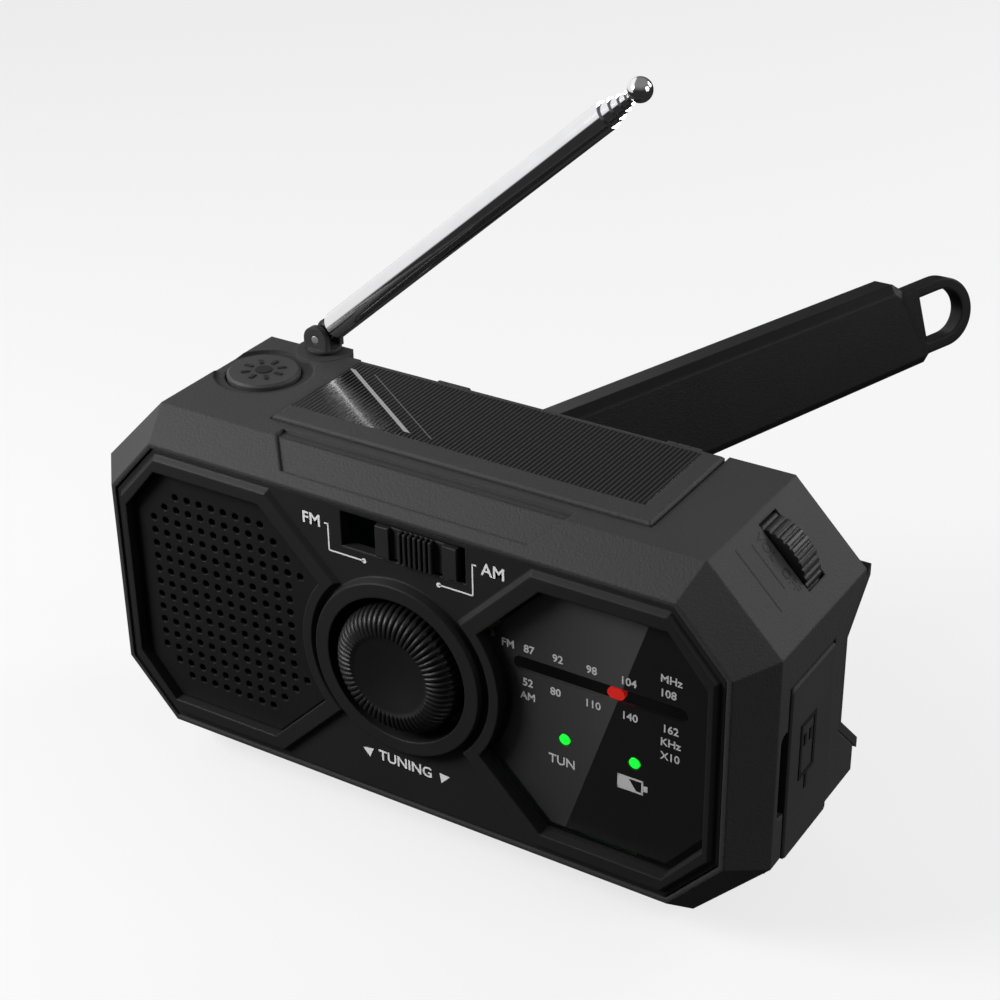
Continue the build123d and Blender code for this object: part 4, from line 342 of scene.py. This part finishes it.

# Dial plate and its printed scales.  The plate is thin printed sheet behind polished
# acrylic; a reflection painted into the plate's colour lightens it up to a slanting edge.
SHEEN_FOOT = (36.7, -28.5)
SHEEN_RUN = (18.4, 55.4)
SHEEN_LENGTH = 58.4
SHEEN_FADE = 34
SHEEN_LOW = 0.45
SHEEN_LOW_HEIGHT = 12
SHEEN_RISE = 70
PLATE_BLACK = (0.004, 0.004, 0.004)
PLATE_PAINTED_SHEEN = (0.055, 0.055, 0.055)
dial_sheet = Finish("dial sheet", Coat_Weight=0.6, Coat_Roughness=0.06, Specular_IOR_Level=0.3)
across, _, height = dial_sheet.axes()
from_foot = (across * 1000 - SHEEN_FOOT[0], height * 1000 - MID_Z * 1000 - SHEEN_FOOT[1])
beyond = (from_foot[0] * SHEEN_RUN[1] - from_foot[1] * SHEEN_RUN[0]) / SHEEN_LENGTH
higher = SHEEN_LOW + (height * 1000 - SHEEN_LOW_HEIGHT) / SHEEN_RISE
# painted reflection: the plate's colour is lighter near the slanting edge, and more so higher up
painted_sheen = (1 + beyond / SHEEN_FADE).clipped() * beyond.below(0) * higher
dial_sheet.feed("Base Color", dial_sheet.blend(painted_sheen.clipped(), PLATE_BLACK, PLATE_PAINTED_SHEEN))
dial_sheet.feed("Roughness", 0.3 + dial_sheet.noise(0.01, detail=4.0) * 0.1)
paint(dial_sheet, "dial_print", "dial_scale")

NUMBERS = 1.75
FRAME_STROKE = 0.4
dial_face = (0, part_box("dial_scale")[0].y, MID_Z)
# painted glow: the dial's printing gives off a faint light of its own
dial_ink_painted_glow = printed("dial ink", (0.50, 0.50, 0.50), painted_glow=0.05)
words_on(dial_face, "scale_{}_{:.0f}", (
    ("FM", 23.9, 12.0, NUMBERS), ("87", 28.7, 12.0, NUMBERS), ("92", 35.2, 12.0, NUMBERS),
    ("98", 42.7, 12.0, NUMBERS), ("104", 50.7, 12.0, NUMBERS), ("108", 59.2, 12.2, NUMBERS),
    ("MHz", 59.8, 15.4, NUMBERS), ("52", 28.4, 4.2, NUMBERS), ("AM", 28.4, 1.0, NUMBERS),
    ("80", 34.7, 4.2, NUMBERS), ("110", 43.0, 4.2, NUMBERS), ("140", 51.1, 4.2, NUMBERS),
    ("162", 59.9, 4.2, NUMBERS), ("KHz", 60.0, 1.1, NUMBERS), ("X10", 60.0, -2.1, NUMBERS),
    ("TUN", 36.2, -11.8, 2.1),
), dial_ink_painted_glow)
strips("battery_mark", [
    bar((48.7, -10.0), (54.4, -10.0), FRAME_STROKE), bar((48.7, -12.9), (54.4, -12.9), FRAME_STROKE),
    bar((48.9, -10.0), (48.9, -12.9), FRAME_STROKE), bar((54.2, -10.0), (54.2, -12.9), FRAME_STROKE),
    bar((54.9, -10.8), (54.9, -12.1), 0.9),
    [(49.1, -10.2), (51.2, -10.2), (52.9, -12.7), (49.1, -12.7)],
], dial_face, RIGHT, UPWARD, "case", dial_ink_painted_glow)

# Painted shade: a thin black sheet between the pointer's rack and the main board stands
# in for the shade inside the case, so that no board shows through the dial's slot.  It
# is held between the two.
SHADE_CARD_THICK = 0.0002
shade_card = Finish("black card", Specular_IOR_Level=0.1)
fibre = shade_card.noise(0.0006, detail=4.0)
shade_card.feed("Base Color", shade_card.blend(fibre, (0.002, 0.002, 0.002), (0.004, 0.004, 0.004)))
shade_card.feed("Roughness", 0.85 + fibre * 0.1)
shade_card_y = (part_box("dial_rack")[1].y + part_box("main_board")[0].y) / 2
# painted shade: a dark sheet put where there is only shade inside the case
strips("painted_shade_sheet", [[(21.5, -4.0), (65.0, -4.0), (65.0, 13.5), (21.5, 13.5)]],
       (0, shade_card_y, MID_Z), RIGHT, UPWARD, "case", shade_card, thick=SHADE_CARD_THICK)

# Behind the window: two green lights of tinted epoxy that stand on the main board,
# and the moulded red pointer that rides on the rack, with a faint painted glow.  The
# window is clear acrylic.
lamp_green = Finish("green lamp", Roughness=0.25, Base_Color=(0.02, 0.6, 0.06, 1),
                    Emission_Color=(0.0, 0.80, 0.02, 1), Emission_Strength=1.0)
lamp_green.bump(lamp_green.noise(0.0005), 0.00002)
paint(lamp_green, "led_green", "indicator_leds")
# painted glow: the pointer is no lamp, but emits a faint red light
pointer_red = Finish("pointer red", Roughness=0.35, Emission_Color=(0.9, 0.02, 0.01, 1),
                     Emission_Strength=0.25)
pointer_red.feed("Base Color", pointer_red.blend(pointer_red.noise(0.002), (0.45, 0.010, 0.008),
                                                 (0.55, 0.015, 0.010)))
paint(pointer_red, "pointer_red", "dial_pointer")

window = Finish("clear acrylic", Base_Color=(0.02, 0.02, 0.02, 1), Alpha=0.08, IOR=1.49,
                Coat_Weight=0.1, Coat_Roughness=0.02)
window.feed("Roughness", 0.02 + window.noise(0.006, detail=6.0) * 0.06)
paint(window, "window_clear", "dial_window")

# Tuning knob: one ABS moulding pressed on its steel shaft.  A shallow dish in the
# middle, a rounded crest round it, and sixty flutes down the sloping outside.


def skin(name, points, body, finish):
    """Mesh over a grid of points (rows, columns, 3) whose columns close on themselves.
    Rows that shrink to one point become a closed pole."""
    rows, columns = points.shape[:2]
    left = np.arange(rows * columns).reshape(rows, columns)
    right = np.roll(left, -1, axis=1)
    quads = np.stack([left[:-1], right[:-1], right[1:], left[1:]], axis=-1).reshape(-1, 4)
    mesh = bpy.data.meshes.new(name)
    mesh.from_pydata(points.reshape(-1, 3).tolist(), [], quads.tolist())
    sealed(mesh, outward=True)
    mesh.polygons.foreach_set("use_smooth", np.ones(len(mesh.polygons), bool))
    return riding(name, mesh, body, finish)


def turned_knob(profile, flutes, depth, columns, inward=0.8, backward=0.7):
    """Points of a knob about the Y axis through (0, mid-case).  The radius and depth
    of each row come from the profile; on fluted rows the radius shrinks by inward and
    the face steps back by backward times depth * (1 - |sin|) squared of the flute
    angle, which gives round ribs with sharp valleys between them."""
    angle = np.linspace(0, 2 * math.pi, columns, endpoint=False)[None, :]
    radius, front, share = profile.T[:, :, None]
    valley = (1 - np.abs(np.sin(flutes * angle / 2))) ** 2 * depth * share
    r = np.maximum(radius - valley * inward, 0)
    y = front + valley * backward
    return np.stack([r * np.cos(angle), y + 0 * angle, MID_Z + r * np.sin(angle)], axis=-1)


FLUTES = 60
FLUTE_DEPTH = 0.0007
KNOB_COLUMNS = 12 * FLUTES
crest = knob_low.y
knob_depth = (knob_high.y - crest) * 1000
# each step: radius and depth behind the crest in millimetres, and share of the flutes
knob_steps = [(0.0, 1.35, 0), (3.0, 1.2, 0), (6.0, 0.85, 0), (8.2, 0.4, 0), (8.9, 0.32, 0),
              (9.3, 0.05, 0.3), (9.8, 0.0, 0.8), (11.0, 0.1, 1), (12.2, 0.5, 1), (13.2, 1.3, 1),
              (14.0, 2.5, 1), (14.45, 3.8, 1), (14.6, 5.4, 1), (14.6, 8.0, 1),
              (14.6, knob_depth, 0.6), (0.0, knob_depth, 0)]
knob_profile = np.array([(r / 1000, crest + y / 1000, s) for r, y, s in knob_steps])
knob_plastic = moulded("knob ABS", (0.005, 0.005, 0.0052), (0.008, 0.008, 0.0083), 0.40,
                       gloss=0.2, grain=0.0003, depth=0.00002)
knob = skin("tuning_knob", turned_knob(knob_profile, FLUTES, FLUTE_DEPTH, KNOB_COLUMNS), "knob",
            knob_plastic)
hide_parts("tuning_knob")

# Band switch and volume wheel: two ABS mouldings.  The ribbed slider runs in a slot
# above the knob, over a switch on the board; the wheel is pressed on its control.
slider_plastic = moulded("slider ABS", (0.012, 0.012, 0.012), (0.016, 0.016, 0.016), 0.42, gloss=0.2)
paint(slider_plastic, "knob_black", "band_slider", "volume_wheel")

# Tuning drive: a ground steel shaft, and the acetal pinion and rack that carry the
# pointer.  The same two materials serve for the pins, screws, sockets, speaker
# basket, generator and gears.
steel = Finish("ground steel", Metallic=1.0)
streak = steel.noise(0.0015, detail=6.0)
steel.feed("Base Color", steel.blend(streak, (0.42, 0.42, 0.43), (0.58, 0.58, 0.60)))
steel.feed("Roughness", 0.26 + streak * 0.2)
steel.bump(streak, 0.00001)
paint(steel, "steel", "tuning_shaft", "antenna_pin", "crank_pin", "hinge_pins", "case_screws",
      "usb_sockets", "generator", "gear_bracket", "speaker_basket")
acetal = moulded("acetal", (0.62, 0.60, 0.55), (0.70, 0.68, 0.63), 0.38, grain=0.0006, gloss=0.5)
paint(acetal, "acetal_white", "tuning_pinion", "dial_rack", "idler_gear", "crank_gear", "generator_rotor")

# Boards and what is soldered on them: green solder mask over glass cloth, moulded
# packages, sleeved capacitors, the ferrite rod and its enamelled coil.
board_mask = moulded("solder mask", (0.010, 0.075, 0.030), (0.016, 0.11, 0.045), 0.3,
                     grain=0.0012, depth=0.00003, gloss=0.5)
paint(board_mask, "board_green", "main_board", "usb_board", "lamp_strip")
component = moulded("component shell", (0.10, 0.10, 0.105), (0.14, 0.14, 0.145), 0.5)
paint(component, "component_grey", "band_switch", "volume_pot", "button_switch", "tuning_capacitor")
epoxy = moulded("chip epoxy", (0.012, 0.012, 0.012), (0.02, 0.02, 0.02), 0.55)
paint(epoxy, "chip_black", "audio_chips")
sleeve = moulded("capacitor sleeve", (0.010, 0.020, 0.12), (0.015, 0.03, 0.17), 0.3, gloss=0.5)
paint(sleeve, "can_blue", "smoothing_capacitors")
ferrite = moulded("ferrite", (0.028, 0.028, 0.03), (0.045, 0.045, 0.047), 0.6, grain=0.0003)
paint(ferrite, "ferrite", "ferrite_rod", "speaker_magnet")
# radians per metre of the rod: a turn of wire every 0.7 mm
WIRE_WAVE = 9000
copper = Finish("enamelled wire", Metallic=0.8)
turn_x, _, _ = copper.axes()
wire = (turn_x * WIRE_WAVE).sine()
copper.feed("Base Color", copper.blend(wire * 0.5 + 0.5, (0.22, 0.07, 0.03), (0.55, 0.21, 0.09)))
copper.feed("Roughness", 0.3 + copper.noise(0.002) * 0.1)
copper.bump(wire, 0.0001)
paint(copper, "copper", "aerial_coil")

# Speaker cone: pressed black paper behind the grille, glued at its rim to the
# basket.
paper = moulded("cone paper", (0.014, 0.014, 0.014), (0.028, 0.028, 0.028), 0.85,
                grain=0.0008, depth=0.0001)
paint(paper, "cone_paper", "speaker_cone")

# Lamp button: soft black cap in a round recess of the top, over a push switch.  It
# carries a raised lamp mark.
soft_black = moulded("soft cap", (0.016, 0.016, 0.016), (0.024, 0.024, 0.024), 0.6, grain=0.0005)
paint(soft_black, "knob_black", "lamp_button")

# Solar cell: silicon cast in clear resin, glued in the lid's ABS frame.  Fine silver
# fingers run front to back a millimetre apart, and two slanting lines of glare,
# painted into the cell's colour, cross them.
FINGERS_PER_METRE = 1000
FINGER_SHARE = 0.28
GLARE_FRONT = -3.2
GLARE_BACK = 15.6
cell = Finish("solar resin", Coat_Weight=0.15, Coat_Roughness=0.1, Specular_IOR_Level=0.15)
cell_x, cell_y, _ = cell.axes()
pitches = cell_x * FINGERS_PER_METRE
finger = (pitches - pitches.whole()).below(FINGER_SHARE)
# millimetres past the first painted line of glare, which lies 35 degrees from the front edge
lean = cell_x * 573 + cell_y * 819 + 8.8
inside = (cell_y * 1000).between(GLARE_FRONT, GLARE_BACK)
# painted highlight: two bright slanting lines of glare in the cell's base colour
painted_glint = (lean.between(-0.5, 0.4) + lean.between(3.2, 3.45) * 0.3) * inside
fingers_and_painted_glint = (finger * 0.09 + painted_glint).clipped()
cell.feed("Base Color", cell.blend(fingers_and_painted_glint, (0.0020, 0.0020, 0.0022), (0.22, 0.22, 0.22)))
cell.feed("Roughness", 0.25 + finger * 0.2)
cell.bump(finger, 0.00006)
paint(cell, "solar", "solar_cell")

# Covers of the lamp strip and the torch: moulded clear plastic, a little cloudy, held
# in the lid and in the left end.
clear_cover = Finish("clear cover", Base_Color=(0.6, 0.62, 0.62, 1), Alpha=0.35, IOR=1.49)
clear_cover.feed("Roughness", 0.08 + clear_cover.noise(0.004, detail=5.0) * 0.08)
paint(clear_cover, "window_clear", "lamp_lens", "torch_lens")

# Socket cover and feet: moulded black rubber, matt and a little dusty.  The cover
# is pushed into its pocket and the feet are glued on.
rubber = moulded("rubber", (0.013, 0.013, 0.013), (0.024, 0.024, 0.024), 0.72,
                 grain=0.0006, depth=0.00005, gloss=0.2)
paint(rubber, "rubber_black", "usb_cover", "rubber_feet")

# Torch: a metallised plastic reflector and a small aluminium board, clamped behind
# the clear lens at the left end.
mirror = Finish("metallised", Metallic=1.0)
mirror.feed("Base Color", mirror.blend(mirror.noise(0.004), (0.74, 0.74, 0.74), (0.82, 0.82, 0.82)))
mirror.feed("Roughness", 0.05 + mirror.noise(0.002) * 0.05)
paint(mirror, "mirror_plate", "torch_reflector")
bare = Finish("bare aluminium", Metallic=1.0)
bare.feed("Base Color", bare.blend(bare.noise(0.001), (0.55, 0.55, 0.56), (0.66, 0.66, 0.67)))
bare.feed("Roughness", 0.35 + bare.noise(0.001) * 0.1)
paint(bare, "board_aluminium", "torch_board")

# Telescopic antenna: drawn brass tubes, bright chrome plated, that slide in one
# another.  The widest is pinned in a moulded fork that turns in the case.
chrome = Finish("bright chrome", Metallic=1.0)
haze = chrome.noise(0.006, detail=5.0)
chrome.feed("Base Color", chrome.blend(haze, (0.60, 0.60, 0.61), (0.68, 0.68, 0.69)))
chrome.feed("Roughness", 0.07 + haze * 0.06)
paint(chrome, "chrome", "antenna_base", "antenna_stage_1", "antenna_stage_2", "antenna_stage_3",
      "antenna_stage_4", "antenna_tip")

# Crank arm: one long bevelled ABS moulding that folds on its hub, with a strap loop
# moulded at its end.
arm_plastic = moulded("crank ABS", (0.0035, 0.0035, 0.0037), (0.005, 0.005, 0.0053), 0.38,
                      gloss=0.12, edge=0.0009)
paint(arm_plastic, "knob_black", "crank_arm")

# Battery pack: nickel cells in a printed shrink sleeve, held in the bay above the
# battery door.
pack_sleeve = moulded("pack sleeve", (0.015, 0.11, 0.05), (0.02, 0.15, 0.07), 0.3, gloss=0.5)
paint(pack_sleeve, "battery_sleeve", "battery_pack")

# Volume words on the corner facet beside the wheel, with two lines.  They are dark
# marks, as thick as printing ink, on the black ABS; the words stand for engraved
# letters, and their darkness is painted shade.
CORNER_RUN = 0.0161
CORNER_DROP = 0.0165
WORD_HEIGHT = 0.0022
WORD_Y = -0.0002
LINE_STROKE = 0.45
BACKWARD = (0, 1, 0)
CORNER = Vector((CORNER_RUN, 0, -CORNER_DROP)).normalized()
corner_top = Vector((case_high.x - CORNER_RUN, 0, 2 * MID_Z))
dark_ink_and_painted_shade = printed("dark ink", (0.006, 0.006, 0.006))
# painted shade: the words are drawn dark in place of the shade in engraved letters
for words, along in (("VOL", 5.9), ("OFF", 13.7)):
    word_mid = corner_top + Vector((0, WORD_Y, 0)) + CORNER * along / 1000
    letters(f"corner_{words}", words, WORD_HEIGHT, word_mid, CORNER, BACKWARD,
            "case", dark_ink_and_painted_shade)
strips("corner_lines", [
    bar((3.7, -3.2), (14.0, -3.2), LINE_STROKE), bar((2.3, -8.1), (16.6, -8.1), LINE_STROKE),
], corner_top, CORNER, BACKWARD, "case", dark_ink_and_painted_shade)

# Raised marks: a plain lamp sign on the button and a plain plug sign on the flap,
# each moulded with its piece.
MARK_RAISED = 0.0002
RAY_STROKE = 0.8
RAY_START = 3.0
RAY_END = 4.9
LAMP_RADIUS = 1.8
PLUG_STROKE = 0.9
PLUG_SHIFT = Vector((0, -0.0018, 0.002))
button_low, button_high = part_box("lamp_button")
button_mid = ((button_low + button_high) / 2).to_2d()
ways = spot(0, 0, 1, sides=8)
rays = [bar(RAY_START * way, RAY_END * way, RAY_STROKE) for way in ways]
strips("lamp_sign", [spot(0, 0, LAMP_RADIUS)] + rays, (*button_mid, button_high.z), RIGHT, BACKWARD,
       "button", dark_ink_and_painted_shade, thick=MARK_RAISED)
flap_low, flap_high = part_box("usb_cover")
flap_face = (flap_low + flap_high) / 2 + PLUG_SHIFT
flap_face.x = flap_high.x
plug_strokes = (
    ((-3.4, 7.0), (3.4, 7.0)), ((-3.4, -5.0), (3.4, -5.0)), ((-3.0, 6.6), (-3.0, -4.6)),
    ((3.0, 6.6), (3.0, -4.6)), ((-1.2, 4.4), (-1.2, 1.8)), ((1.2, 4.4), (1.2, 1.8)),
    ((0, -5.4), (0, -9.0)),
)
strips("plug_sign", [bar(a, b, PLUG_STROKE) for a, b in plug_strokes], flap_face,
       BACKWARD, UPWARD, "socket_flap", dark_ink_and_painted_shade, thick=MARK_RAISED)

# Floor: a pale sheet under the feet that glows a little, so that it is as even and
# bright as a studio ground.  It is left out of reflections and of bounced light.
FLOOR_REACH = 6
floor_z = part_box("rubber_feet")[0].z
ground = bpy.data.meshes.new("floor")
ground.from_pydata([(x * FLOOR_REACH, y * FLOOR_REACH, floor_z)
                    for x, y in ((-1, -1), (1, -1), (1, 1), (-1, 1))], [], [(0, 1, 2, 3)])
floor = bpy.data.objects.new("floor", ground)
floor_finish = Finish("pale floor", Base_Color=(0.14, 0.14, 0.14, 1), Roughness=0.9,
                      Specular_IOR_Level=0.0, Emission_Color=(1, 1, 1, 1), Emission_Strength=0.73)
ground.materials.append(floor_finish.material)
bpy.context.scene.collection.objects.link(floor)
floor.visible_glossy = False
floor.visible_diffuse = False

# Surroundings: soft light from above, a tall white screen to the left, and almost
# black elsewhere.
DOME_LIGHT = 0.27
SCREEN_LIGHT = 1.15
DARK = 0.035
sky = bpy.data.worlds.new("studio")
sky.use_nodes = True
bpy.context.scene.world = sky
sky_nodes = Nodes(sky.node_tree)
east, _, aloft = sky_nodes.parts(sky_nodes.node("ShaderNodeTexCoord"))
dome = ((aloft - 0.10) * 1.6).clipped() * DOME_LIGHT
screen = ((-1 * east - 0.56) * 12).clipped() * ((aloft + 0.30) * 8).clipped() * SCREEN_LIGHT
sky_shader = sky.node_tree.nodes["Background"]
sky.node_tree.links.new((dome + screen + DARK).socket, sky_shader.inputs["Color"])
sky_shader.inputs["Strength"].default_value = 1.0


def softbox(name, place, aim, size, power):
    """A square studio light at place, turned to aim, with its side in metres and its watts."""
    lamp = bpy.data.lights.new(name, "AREA")
    lamp.shape = "SQUARE"
    lamp.size = size
    lamp.energy = power
    holder = bpy.data.objects.new(name, lamp)
    bpy.context.scene.collection.objects.link(holder)
    holder.location = place
    holder.rotation_mode = "QUATERNION"
    holder.rotation_quaternion = (Vector(aim) - Vector(place)).to_track_quat("-Z", "Y")


softbox("key", (-0.38, -0.34, 0.36), (-0.05, 0, 0.07), 0.24, 5.2)
softbox("rim", (0.45, 0.66, 0.45), (0, 0, 0.05), 0.35, 4)
softbox("fill", (0.80, 0.10, 0.35), (0.05, 0, 0.04), 0.40, 4)

# Camera: above the front's right side, looking down and to the left at the case.
# Its way is given by the directions of its right side and of its view.
EYE = (0.20913, -0.31643, 0.27829)
SIDEWAYS = Vector((0.84917, 0.52795, -0.01319)).normalized()
FORWARD = Vector((-0.46702, 0.73874, -0.48596)).normalized()
LIFT = SIDEWAYS.cross(FORWARD).normalized()
lens = bpy.data.cameras.new("camera")
lens.lens = 76.4
lens.sensor_width = 36.0
lens.clip_start = 0.01
lens.clip_end = 30.0
camera = bpy.data.objects.new("camera", lens)
bpy.context.scene.collection.objects.link(camera)
camera.matrix_world = Matrix.Translation(EYE) @ Matrix(
    (SIDEWAYS, LIFT, -FORWARD)).transposed().to_4x4()
bpy.context.scene.camera = camera
bpy.context.scene.view_settings.view_transform = "Standard"
